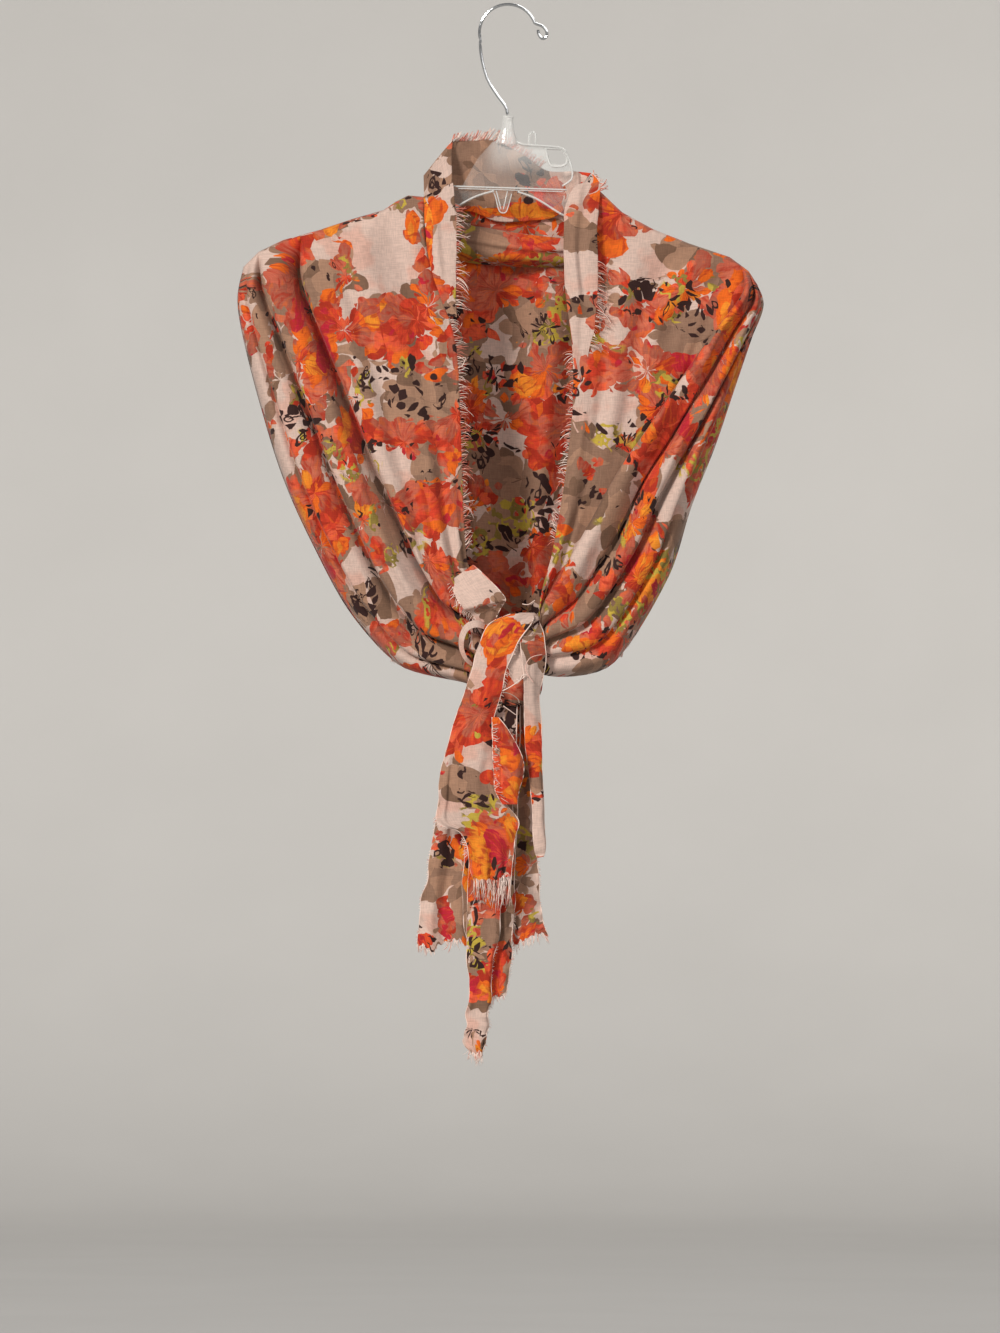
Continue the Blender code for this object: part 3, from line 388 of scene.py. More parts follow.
TAIL_LONG_FRONT = table(Rib, [
    (-26, -48, TAIL_TOP, 8, -48, TAIL_TOP, 1),
    (-29, -48, -640, 6, -48, -640, 2),
    (-31, -48, -700, 2, -48, -700, 2.5),
    (-34.4, -48, -764, -6, -48, -764, 2.5),
    (-33.6, -48, -818, -13.4, -48, -818, 2.5),
    (-34.8, -48, -854, -16.8, -48, -854, 2),
    (-37.8, -48, -868.6, -19, -48, -870, 1.5),
    (-33.5, -48, -879.5, -22.5, -48, -882, 0.5),
])
TAIL_LONG_BACK = table(Rib, [
    (-28, -41.5, TAIL_TOP, 11, -41.5, TAIL_TOP, 1),
    (-32, -41.5, -660, 8, -41.5, -660, 2),
    (-38.6, -41.5, -739, 5.5, -41.5, -739, 2),
    (-34.4, -41.5, -787, 3.4, -41.5, -787, 2),
    (-22, -41.5, -836, -0.8, -41.5, -829, 1.5),
])
TAIL_BACK = table(Rib, [
    (-34.5, -34, TAIL_TOP, 18, -34, TAIL_TOP, 1),
    (-48.7, -34, -618, 21.8, -34, -618, 1.5),
    (-55.4, -34, -652, 23.5, -34, -652, 1.5),
    (-60.5, -34, -693, 23.5, -34, -693, 1.5),
    (-68, -34, -733, 25.2, -34, -733, 1.5),
    (-73.9, -34, -764, 28.6, -34, -764, 1.5),
    (-77.3, -34, -792, 32.6, -34, -784, 1.5),
])

# Folds that run down a ribbon: where each lies across it at its top and end, how far down it starts
# and stops, and how wide and deep it is.
Ridge = namedtuple("Ridge", "top end start stop width height")
COLLAR_RIDGES = table(Ridge, [
    (0.2, 0.35, 0, 1.3, 5, 1),
    (0.55, 0.5, 0.1, 1.3, 6, -1.2),
    (0.85, 0.8, 0, 1.3, 4, 1),
])
NECK_RIDGES = table(Ridge, [
    (0.3, 0.25, 0, 1.3, 4, 1.5),
    (0.55, 0.6, 0, 1.3, 3, -1.8),
    (0.8, 0.8, 0.1, 1.3, 4, 1.4),
])
LAPEL_RIDGES = table(Ridge, [(0.25, 0.3, -0.1, 0.8, 4, 1.3), (0.6, 0.5, 0.1, 1.3, 4, -1.5)])
FLAP_RIDGES = table(Ridge, [
    (0.08, 0.2, -0.2, 0.5, 2.5, 0.8),
    (0.25, 0.4, 0.5, 1.3, 2.5, -0.9),
    (0.7, 0.75, 0.5, 1.3, 2.5, 0.8),
])
TAIL_FRONT_RIDGES = table(Ridge, [
    (0.38, 0.36, -0.2, 0.3, 8, 1.8),
    (0.13, 0.07, 0.28, 0.95, 2.6, 1.6),
    (0.22, 0.15, 0.34, 0.9, 3, -1.3),
    (0.66, 0.62, 0.22, 0.8, 7, 2),
    (0.46, 0.44, 0.36, 0.82, 5, -1.2),
    (0.24, 0.3, 0.72, 1.4, 3.4, 2),
    (0.46, 0.5, 0.76, 1.4, 2.6, -1.9),
    (0.68, 0.66, 0.74, 1.4, 3, 1.8),
    (0.86, 0.82, 0.8, 1.4, 2.4, -1.4),
])
RUFFLE_RIDGES = table(Ridge, [(0.3, 0.34, 0, 1, 2.6, -1.8), (0.66, 0.7, 0, 1.3, 5, 2.8)])
TAIL_RIGHT_RIDGES = table(Ridge, [(0.4, 0.55, -0.2, 0.7, 4, 1.4), (0.7, 0.8, 0.5, 1.4, 3, 1.2)])
TAIL_LONG_RIDGES = table(Ridge, [
    (0.2, 0.3, -0.2, 0.55, 4, 1.6),
    (0.5, 0.56, -0.2, 0.45, 3.4, -1.4),
    (0.78, 0.86, 0.3, 1.4, 3, 1.6),
    (0.34, 0.4, 0.5, 0.9, 3.6, -1.2),
    (0.5, 0.44, 0.78, 1.4, 2.6, 1.2),
])
TAIL_BACK_RIDGES = table(Ridge, [
    (0.06, 0.09, 0.3, 1.4, 4.5, 2.6),
    (0.16, 0.22, 0.15, 1.4, 5, -3),
    (0.28, 0.34, 0.45, 1.4, 6, 2.8),
    (0.48, 0.47, 0.3, 1.4, 5, -2.2),
    (0.64, 0.62, 0.2, 1.4, 5, 2.6),
    (0.76, 0.74, 0.4, 1.4, 4, -3),
    (0.9, 0.9, 0.25, 1.4, 5, 2.8),
])
# The knot's folds, by how far they lie from its middle line in millimetres.
Twist = namedtuple("Twist", "top end width height")
KNOT_TWISTS = table(Twist, [
    (-20, -30, 4, 2),
    (12, 2, 2.5, -2.4),
    (19, 10, 5, 1.8),
    (24, 17, 2.6, -1.6),
])

# Where a colour leads in the print: each spot leans the pattern towards its hue, as far as its sizes.
Spot = namedtuple("Spot", "x z width height hue")


def spots_of(**hues):
    """Spots, from the x, z, width and height of each hue's."""
    return [Spot(*place, hue) for hue, places in hues.items() for place in places]


LEFT_SPOTS = spots_of(
    pale=[(-214, -216, 12, 10), (-152, -205, 12, 9), (-104, -211, 26, 30), (-124, -190, 20, 8),
        (-136, -258, 8, 16), (-101, -391, 20, 19), (-48, -452, 8, 16), (-86, -482, 15, 20),
        (-210, -316, 8, 22), (-189, -328, 4, 14), (-128, -475, 9, 16), (-190, -378, 7, 24),
        (-86, -547, 10, 8)],
    coral=[(-180, -209, 10, 11), (-100, -268, 34, 26), (-96, -359, 28, 9), (-64, -424, 26, 19),
        (-70, -511, 11, 11), (-56, -496, 8, 34), (-191, -236, 13, 14), (-199, -299, 5, 16),
        (-164, -384, 9, 26), (-149, -424, 9, 24), (-101, -528, 12, 9), (-121, -416, 8, 18)],
    taupe=[(-156, -230, 16, 12), (-80, -330, 28, 20), (-68, -391, 14, 15), (-54, -545, 12, 11),
        (-188, -292, 9, 20), (-206, -262, 8, 16), (-104, -498, 9, 18), (-98, -442, 7, 14)],
    dark=[(-145, -231, 8, 10), (-90, -332, 12, 9), (-59, -330, 8, 18), (-66, -398, 8, 8),
        (-187, -290, 5, 12), (-166, -350, 6, 14), (-128, -502, 8, 10)],
    lime=[(-92, -167, 7, 6), (-120, -322, 9, 20), (-84, -304, 7, 13), (-97, -463, 5, 12),
        (-177, -326, 7, 12), (-113, -434, 5, 12)],
    orange=[(-82, -188, 5, 14), (-107, -262, 18, 13), (-161, -305, 10, 22), (-138, -362, 8, 16),
        (-139, -455, 6, 9), (-176, -432, 8, 18)],
    crimson=[(-177, -264, 9, 18), (-153, -290, 7, 26), (-148, -476, 7, 10)],
)
RIGHT_SPOTS = spots_of(
    coral=[(89, -181, 11, 19), (197, -226, 13, 12), (87, -308, 24, 18), (118, -333, 11, 16),
        (68, -386, 14, 10), (166, -312, 13, 26), (140, -356, 12, 24), (118, -391, 10, 18),
        (46, -492, 9, 18), (121, -438, 5, 9), (86, -552, 7, 5)],
    orange=[(86, -176, 5, 14), (138, -197, 10, 5), (184, -262, 9, 20), (190, -310, 7, 22),
        (124, -484, 18, 22), (66, -538, 28, 6)],
    pale=[(110, -217, 17, 15), (88, -275, 9, 12), (91, -340, 19, 19), (66, -462, 10, 20),
        (137, -412, 13, 26), (44, -553, 9, 7)],
    dark=[(114, -235, 16, 5), (184, -232, 7, 9), (104, -252, 14, 8), (160, -278, 18, 11),
        (62, -408, 14, 14), (92, -424, 6, 10), (78, -470, 5, 8)],
    taupe=[(145, -206, 24, 15), (150, -280, 28, 16), (60, -400, 30, 34), (92, -420, 10, 16),
        (146, -444, 11, 14), (84, -454, 8, 18), (70, -506, 10, 9), (66, -556, 14, 7)],
    lime=[(173, -234, 7, 8), (141, -264, 10, 7), (160, -391, 7, 12), (182, -352, 6, 14),
        (92, -511, 10, 11)],
    crimson=[(143, -300, 12, 10), (147, -355, 6, 13), (104, -470, 7, 8)],
)
BACK_SPOTS = spots_of(
    coral=[(-12, -231, 40, 15), (-22, -254, 14, 8), (45, -292, 9, 10), (26, -348, 20, 16),
        (-29, -335, 14, 13), (24, -380, 12, 8), (-27, -406, 9, 8), (33, -462, 14, 16), (-8, -480, 18, 14),
        (-150, -260, 34, 26), (100, -350, 30, 30), (-130, -420, 26, 30)],
    orange=[(-34, -222, 12, 9), (20, -316, 18, 13), (160, -300, 24, 26)],
    taupe=[(10, -266, 20, 11), (-12, -384, 18, 12), (14, -404, 14, 9), (110, -240, 34, 26),
        (-110, -330, 30, 30), (60, -500, 30, 22)],
    dark=[(19, -268, 20, 12), (-24, -270, 10, 12), (-16, -384, 10, 9), (30, -398, 12, 14)],
    lime=[(-28, -287, 9, 10), (-19, -318, 9, 10), (12, -427, 15, 9), (-20, -452, 15, 12)],
    pale=[(6, -364, 11, 6), (-90, -230, 30, 24), (120, -430, 26, 26), (-70, -480, 26, 24)],
)
NECK_SPOTS = spots_of(
    taupe=[(-14, -198, 20, 12)],
    dark=[(-20, -196, 12, 9)],
    coral=[(24, -199, 12, 9)],
    orange=[(-38, -210, 14, 8), (12, -211, 30, 4)],
    pale=[(50, -203, 10, 10)],
)
COLLAR_SPOTS = spots_of(
    taupe=[(-24, -130, 36, 24), (-20, -156, 30, 14)],
    dark=[(-60, -148, 8, 9), (20, -142, 16, 5), (14, -154, 10, 4)],
    pale=[(-57, -134, 9, 10)],
    orange=[(10, -172, 40, 6)],
    coral=[(-30, -174, 12, 6), (38, -152, 12, 12)],
    crimson=[(34, -168, 8, 5)],
)
LAPEL_SPOTS = spots_of(
    coral=[(-61, -174, 9, 12), (-55, -240, 9, 12), (69, -165, 6, 7)],
    dark=[(-63, -158, 9, 6), (66, -252, 10, 9)],
    pale=[(-54, -206, 9, 24), (60, -158, 12, 10), (62, -228, 16, 16), (63, -285, 9, 16)],
    orange=[(-66, -200, 3, 26)],
    taupe=[(-48, -256, 6, 8), (58, -194, 16, 13)],
)
KNOT_SPOTS = spots_of(
    orange=[(-6, -529, 15, 13), (-10, -541, 8, 8), (-33, -473, 6, 3)],
    pale=[(15, -514, 9, 4), (8, -556, 8, 14), (-26, -556, 8, 18), (22, -566, 6, 12), (-32, -488, 12, 12),
        (-36, -508, 7, 10), (-34, -533, 12, 16)],
    dark=[(18, -527, 7, 8)],
    coral=[(24, -543, 6, 9), (-9, -556, 7, 18), (-2, -574, 6, 8)],
    taupe=[(-8, -499, 6, 5), (-16, -512, 7, 6)],
)
TAIL_SPOTS = spots_of(
    coral=[(-28, -598, 14, 18), (-42, -612, 8, 16), (-20, -650, 8, 9), (21, -614, 9, 18),
        (-8, -752, 9, 12), (-10, -800, 8, 12), (-70, -786, 8, 6), (12, -724, 8, 12), (20, -778, 10, 8)],
    lime=[(-28, -588, 6, 5), (-28, -614, 8, 5), (-29, -774, 6, 9), (22, -766, 6, 9)],
    pale=[(-24, -632, 14, 12), (-50, -686, 9, 12), (-44, -684, 10, 10), (20, -590, 8, 20),
        (27, -692, 8, 22), (-22, -852, 14, 14), (-68, -764, 10, 12)],
    taupe=[(-36, -656, 20, 14), (8, -676, 8, 12), (24, -655, 9, 7), (-12, -778, 10, 12),
        (-61, -735, 10, 14), (-40, -760, 8, 26)],
    dark=[(-32, -646, 8, 6), (-34, -666, 12, 8), (-18, -666, 7, 6), (4, -598, 8, 12), (-24, -798, 13, 10),
        (-20, -845, 4, 4), (-24, -863, 8, 4), (-52, -715, 8, 14), (14, -740, 6, 7)],
    crimson=[(-9, -704, 10, 20), (-28, -822, 8, 9), (-8, -824, 7, 12), (-52, -772, 8, 16)],
    orange=[(-26, -704, 12, 20), (-23, -726, 9, 9), (2, -694, 5, 12), (22, -634, 8, 6),
        (-26, -742, 12, 10), (-20, -828, 7, 8), (14, -754, 10, 12)],
)
RUFFLE_SPOTS = spots_of(
    coral=[(0, -614, 16, 14), (2, -640, 12, 12), (2, -672, 12, 7)],
    crimson=[(7, -628, 6, 9)],
    orange=[(3, -658, 9, 10)],
)
# What each hue adds to the print's layers: first the three of the masses, then the marks.
Lean = namedtuple("Lean", "coral taupe lime orange dark crimson")
LEANS = {
    "pale": Lean(-1, -1, -0.3, 0, -1, 0),
    "taupe": Lean(-1, 1, -0.5, 0, -0.4, 0),
    "coral": Lean(1, 0, -0.3, -0.2, -0.6, 0),
    "orange": Lean(1, 0, 0, 1, -0.7, 0),
    "crimson": Lean(1, 0, -0.6, -0.5, -0.6, 1),
    "lime": Lean(-0.2, 0.2, 1, 0, 0, 0),
    "dark": Lean(-0.1, 0.4, 0, 0, 1, 0),
}

# The threads of an edge: how far they reach, how far apart and how thick they are, how they lean along
# the edge, lift off it and hang, and how wild they are from 0 to 1.
FRINGE = "reach spacing thick lean lift hang wild"
Fringe = namedtuple("Fringe", FRINGE)
LEFT_EDGE = Fringe(12, 1.3, 0.38, 0.15, 0.12, 0.35, 0.62)
RIGHT_EDGE = Fringe(9.5, 1.5, 0.36, 0.1, 0.14, 0.3, 0.7)
HEM_EDGE = Fringe(3.5, 1.1, 0.2, 0, 0.1, 0.1, 0.7)

# How each front is made. side is -1 for the left one, shift is where it lies on the print in
# millimetres, and its edge's threads start at this one of the part's rows.
Panel = namedtuple("Panel", "name side shift first_row fringe table shoulder pleats creases spots")
LEFT_SHAPE = (LEFT_FRONT, LEFT_SHOULDER, LEFT_PLEATS, LEFT_CREASES, LEFT_SPOTS)
RIGHT_SHAPE = (RIGHT_FRONT, RIGHT_SHOULDER, RIGHT_PLEATS, RIGHT_CREASES, RIGHT_SPOTS)
FRONTS = [
    Panel("left_front", -1, (0, 0), 9, LEFT_EDGE, *LEFT_SHAPE),
    Panel("right_front", 1, (700, 300), 12, RIGHT_EDGE, *RIGHT_SHAPE),
]

# How each ribbon is made: the mesh's rows and columns, the record's slot, and how far its edges
# flutter and its lower end is ragged.
Stretch = namedtuple("Stretch", "name table rows columns slot spots ridges flutter ragged")
STRETCHES = table(Stretch, [
    ("collar", COLLAR, 110, 46, "taupe_gauze", COLLAR_SPOTS, COLLAR_RIDGES, 0.8, 0),
    ("neck_roll", NECK_ROLL, 90, 44, "coral_gauze", NECK_SPOTS, NECK_RIDGES, 0, 0),
    ("left_lapel", LEFT_LAPEL, 90, 40, "pale_gauze", LAPEL_SPOTS, LAPEL_RIDGES, 1.2, 0),
    ("right_lapel", RIGHT_LAPEL, 120, 44, "pale_gauze", LAPEL_SPOTS, LAPEL_RIDGES, 1.2, 0),
    ("knot_flap", KNOT_FLAP, 90, 50, "pale_gauze", KNOT_SPOTS, FLAP_RIDGES, 0.8, 0),
    ("knot_loop", KNOT_LOOP, 70, 18, "pale_gauze", KNOT_SPOTS, (), 0, 0),
    ("tail_front", TAIL_FRONT, 190, 76, "coral_gauze", KNOT_SPOTS + TAIL_SPOTS, TAIL_FRONT_RIDGES, 2.4, 3),
    ("tail_ruffle", TAIL_RUFFLE, 90, 46, "coral_gauze", RUFFLE_SPOTS, RUFFLE_RIDGES, 1.5, 0),
    ("tail_right", TAIL_RIGHT, 140, 34, "pale_gauze", KNOT_SPOTS + TAIL_SPOTS, TAIL_RIGHT_RIDGES, 1.6, 0),
    ("tail_long_front", TAIL_LONG_FRONT, 230, 50, "taupe_gauze", TAIL_SPOTS, TAIL_LONG_RIDGES, 2.4, 4),
    ("tail_long_back", TAIL_LONG_BACK, 180, 54, "taupe_gauze", TAIL_SPOTS, TAIL_LONG_RIDGES, 2.2, 4),
    ("tail_back", TAIL_BACK, 180, 120, "taupe_gauze", TAIL_SPOTS, TAIL_BACK_RIDGES, 2.6, 4),
])

# The threads along the ribbons' edges: a, b or the end, between two places along it from 0 to 1. way
# is where they point, and where it is None they point straight out.
DOWN = (0, 0, -1)
Lash = namedtuple("Lash", "on name edge start stop way " + FRINGE)
LASHES = table(Lash, [
    ("collar", "fringe", "a", 0.17, 0.8, (0.35, 0.1, 1), 11, 0.72, 0.45, 0.4, 0, 0, 0.2),
    ("left_lapel", "fringe", "b", 0.17, 0.92, None, 13, 1.3, 0.4, 0.2, 0.14, 0.3, 0.6),
    ("right_lapel", "fringe", "b", 0.53, 0.86, None, 15, 1.5, 0.4, 0.3, 0.12, 0.25, 0.6),
    ("right_lapel", "top", "b", 0, 0.24, None, 7, 0.7, 0.45, 0, 0, 0, 0.5),
    ("knot_flap", "lashes", "a", 0.05, 0.95, (-0.9, -0.4, -0.4), 8, 1.7, 0.36, 0.3, 0.1, 0.5, 0.7),
    ("tail_front", "edge", "b", 0.16, 0.38, None, 5, 1.5, 0.32, 0.2, 0.1, 0.2, 0.8),
    ("tail_front", "side", "a", 0.72, 0.9, None, 5, 1.1, 0.28, 0.2, 0.1, 0.3, 0.8),
    ("tail_front", "fringe", "end", 0, 1, DOWN, 25, 0.52, 0.32, 0, 0.03, 0.05, 0.26),
    ("tail_ruffle", "lashes", "a", 0.12, 0.92, (1, -0.5, 0.1), 9, 1.9, 0.36, 0, 0.1, 0.1, 0.6),
    ("tail_back", "fringe", "end", 0, 1, DOWN, 7.5, 0.7, 0.27, 0, 0, 0.1, 0.7),
    ("tail_back", "left", "a", 0.45, 1, None, 2.5, 1.2, 0.22, 0, 0, 0.1, 0.8),
    ("tail_back", "right", "b", 0.45, 1, None, 2.5, 1.2, 0.22, 0, 0, 0.1, 0.8),
    ("tail_long_front", "fringe", "end", 0, 1, DOWN, 10, 0.45, 0.3, 0, 0, 0.1, 0.7),
    ("tail_long_front", "side", "b", 0.5, 1, None, 3, 1.2, 0.24, 0, 0, 0.1, 0.8),
    ("tail_long_back", "fringe", "end", 0, 1, DOWN, 8, 0.6, 0.28, 0, 0, 0.1, 0.7),
    ("tail_long_back", "side", "b", 0.6, 1, None, 3, 1.2, 0.24, 0, 0, 0.1, 0.8),
])

# Ribbons whose cut edges show a pale outline, and that outline's radius. The outline is partly fraying
# and partly a painted highlight: the thin bright line where a rolled edge catches the light.
OUTLINED = ["tail_front", "tail_ruffle", "tail_right", "tail_long_front", "tail_long_back"]
OUTLINED += ["tail_back", "knot_flap"]
OUTLINE = 0.38
OUTLINE_STEPS = 120

# Stray white strings at the knot, by the x, y and z of the places on their way.
STRING = 0.38
STRING_STEPS = 26
STRINGS = [
    [(28.5, -58, -546.5), (22, -63, -547.8), (17.5, -65, -550.5), (14.8, -66, -556), (15.8, -66, -562),
        (21.5, -64, -570)],
    [(14, -65, -565), (8, -66, -569.5), (2, -67, -573.5), (-4.5, -67, -577)],
    [(16, -65, -563.5), (12, -66, -564), (10, -66, -568), (7, -66, -567)],
    [(-4, -64, -589.5), (1, -63, -593), (6.5, -61, -597)],
    [(-4, -66, -578), (2, -64, -579.5), (8, -61, -583.5), (9.5, -60, -587)],
    [(12, -46, -504), (17, -47, -504.5), (22.5, -45, -501)],
]

# How large each stretch was cut, in metres, how it is held, and what it lies on or hangs from. area
# is the cut's, where it isn't a rectangle.
Cut = namedtuple("Cut", "width length held on area", defaults=[None])


# ------------------------------ finishes


def paint(hexadecimal):
    """A colour as linear numbers, from its usual six letters."""
    numbers = [int(hexadecimal[k : k + 2], 16) / 255 for k in (1, 3, 5)]
    linear = [n / 12.92 if n <= 0.04045 else ((n + 0.055) / 1.055) ** 2.4 for n in numbers]
    return (*linear, 1.0)


class Nodes:
    """Builds a shader out of small named steps. Values are sockets or numbers."""

    def __init__(self, name):
        self.material = bpy.data.materials.new(name)
        self.material.use_nodes = True
        self.tree = self.material.node_tree
        self.tree.nodes.clear()

    def add(self, kind, inputs=(), **settings):
        """A node of a kind, with its settings and with what goes into its inputs."""
        node = self.tree.nodes.new("ShaderNode" + kind)
        for name, value in settings.items():
            setattr(node, name, value)
        for socket, value in dict(inputs).items():
            if isinstance(value, bpy.types.NodeSocket):
                self.tree.links.new(value, node.inputs[socket])
            else:
                node.inputs[socket].default_value = value
        return node

    def math(self, operation, *values):
        return self.add("Math", enumerate(values), operation=operation).outputs[0]

    def plus(self, first, *others):
        for value in others:
            first = self.math("ADD", first, value)
        return first

    def times(self, first, *others):
        for value in others:
            first = self.math("MULTIPLY", first, value)
        return first

    def minus(self, a, b):
        return self.math("SUBTRACT", a, b)

    def vector(self, operation, *values):
        return self.add("VectorMath", enumerate(values), operation=operation).outputs[0]

    def scaled(self, vector, scale):
        return self.add("VectorMath", {0: vector, "Scale": scale}, operation="SCALE").outputs[0]

    def parts(self, vector):
        return list(self.add("SeparateXYZ", {0: vector}).outputs)

    def join(self, *values):
        return self.add("CombineXYZ", enumerate(values)).outputs[0]

    def attribute(self, name):
        return self.add("Attribute", attribute_name=name).outputs["Vector"]

    def own_place(self):
        return self.add("TexCoord").outputs["Object"]

    def noise(self, place, size, detail=2.0, rough=0.5, shift=0.0, colour=False):
        """Noise whose blobs are about size millimetres, from 0 to 1."""
        place = self.vector("ADD", place, (0, 0, shift)) if shift else place
        inputs = {"Vector": place, "Scale": PRINT_UNIT / size, "Detail": detail, "Roughness": rough}
        return self.add("TexNoise", inputs).outputs["Color" if colour else "Fac"]

    def petals(self, place, spread, count, length, shift, point=1.3):
        """Cells that ring the middles of wider cells, as petals ring a flower: how far out of its petal
        a place is, the petal's chances, the petal's own place, and streaks that run out along it."""
        moved = self.vector("ADD", place, (shift, -0.7 * shift, 0))
        inputs = {"Vector": moved, "Scale": PRINT_UNIT / spread, "Randomness": 0.9}
        cells = self.add("TexVoronoi", inputs, voronoi_dimensions="2D").outputs
        middle = cells["Position"]
        x, y, _ = self.parts(self.vector("SUBTRACT", moved, middle))
        turn = self.math("ARCTAN2", y, x)
        out = self.math("SQRT", self.plus(self.times(x, x), self.times(y, y)))
        first, second, _ = self.parts(cells["Color"])
        round_off, out_off = self.times(first, 37.0), self.times(second, 11.0)
        ring = self.join(
            self.plus(self.times(turn, count / (2 * math.pi)), round_off),
            self.plus(self.times(out, PRINT_UNIT / length), out_off),
        )
        inputs = {"Vector": ring, "Scale": 1, "Exponent": point, "Randomness": 0.75}
        petal = self.add("TexVoronoi", inputs, voronoi_dimensions="2D", distance="MINKOWSKI").outputs
        round_, out_, _ = self.parts(petal["Position"])
        angle = self.times(self.minus(round_, round_off), 2 * math.pi / count)
        reach = self.times(self.minus(out_, out_off), length / PRINT_UNIT)
        seat = [self.times(reach, self.math(way, angle)) for way in ("COSINE", "SINE")]
        inputs = {"Vector": self.vector("MULTIPLY", ring, (3.2, 0.9, 0)), "Scale": 1, "Detail": 2}
        streak = self.add("TexNoise", inputs, noise_dimensions="2D").outputs["Fac"]
        return petal["Distance"], petal["Color"], self.vector("ADD", middle, self.join(*seat)), streak

    def step(self, value, low, high, to_low=0.0, to_high=1.0):
        """A soft step from to_low to to_high as the value goes from low to high."""
        inputs = enumerate((value, low, high, to_low, to_high))
        return self.add("MapRange", inputs, interpolation_type="SMOOTHSTEP").outputs[0]

    def mix(self, share, *colours):
        a, b = (paint(colour) if isinstance(colour, str) else colour for colour in colours)
        return self.add("Mix", {0: share, 6: a, 7: b}, data_type="RGBA").outputs[2]

    def bump(self, height, distance, strength):
        inputs = {"Height": height, "Distance": distance, "Strength": strength}
        return self.add("Bump", inputs).outputs[0]

    def skin(self, inputs):
        return self.add("BsdfPrincipled", inputs).outputs[0]

    def finish(self, shader):
        self.add("OutputMaterial", {"Surface": shader})
        return self.material


PALE, PALE_GREY, PINK = "#E4C8BA", "#D2B8AC", "#DCA794"
TAUPE, TAUPE_DEEP, TAUPE_WARM = "#9A7762", "#83634F", "#B0886F"
CORAL, CORAL_LIGHT, BRICK, CRIMSON = "#DC452A", "#EA6240", "#B5321C", "#C42239"
ORANGE, AMBER, LIME, OLIVE, BROWN = "#EE6F1C", "#F2962A", "#C6AC44", "#937E3C", "#38201D"
THREAD_PALE, THREAD_PINK, THREAD_WHITE = "#F5E2D8", "#E8CBBD", "#F6E6DF"
THREAD_CORAL, THREAD_TAUPE = "#D9725A", "#A08877"
SHEER = 0.22  # the share of light that comes through the gauze


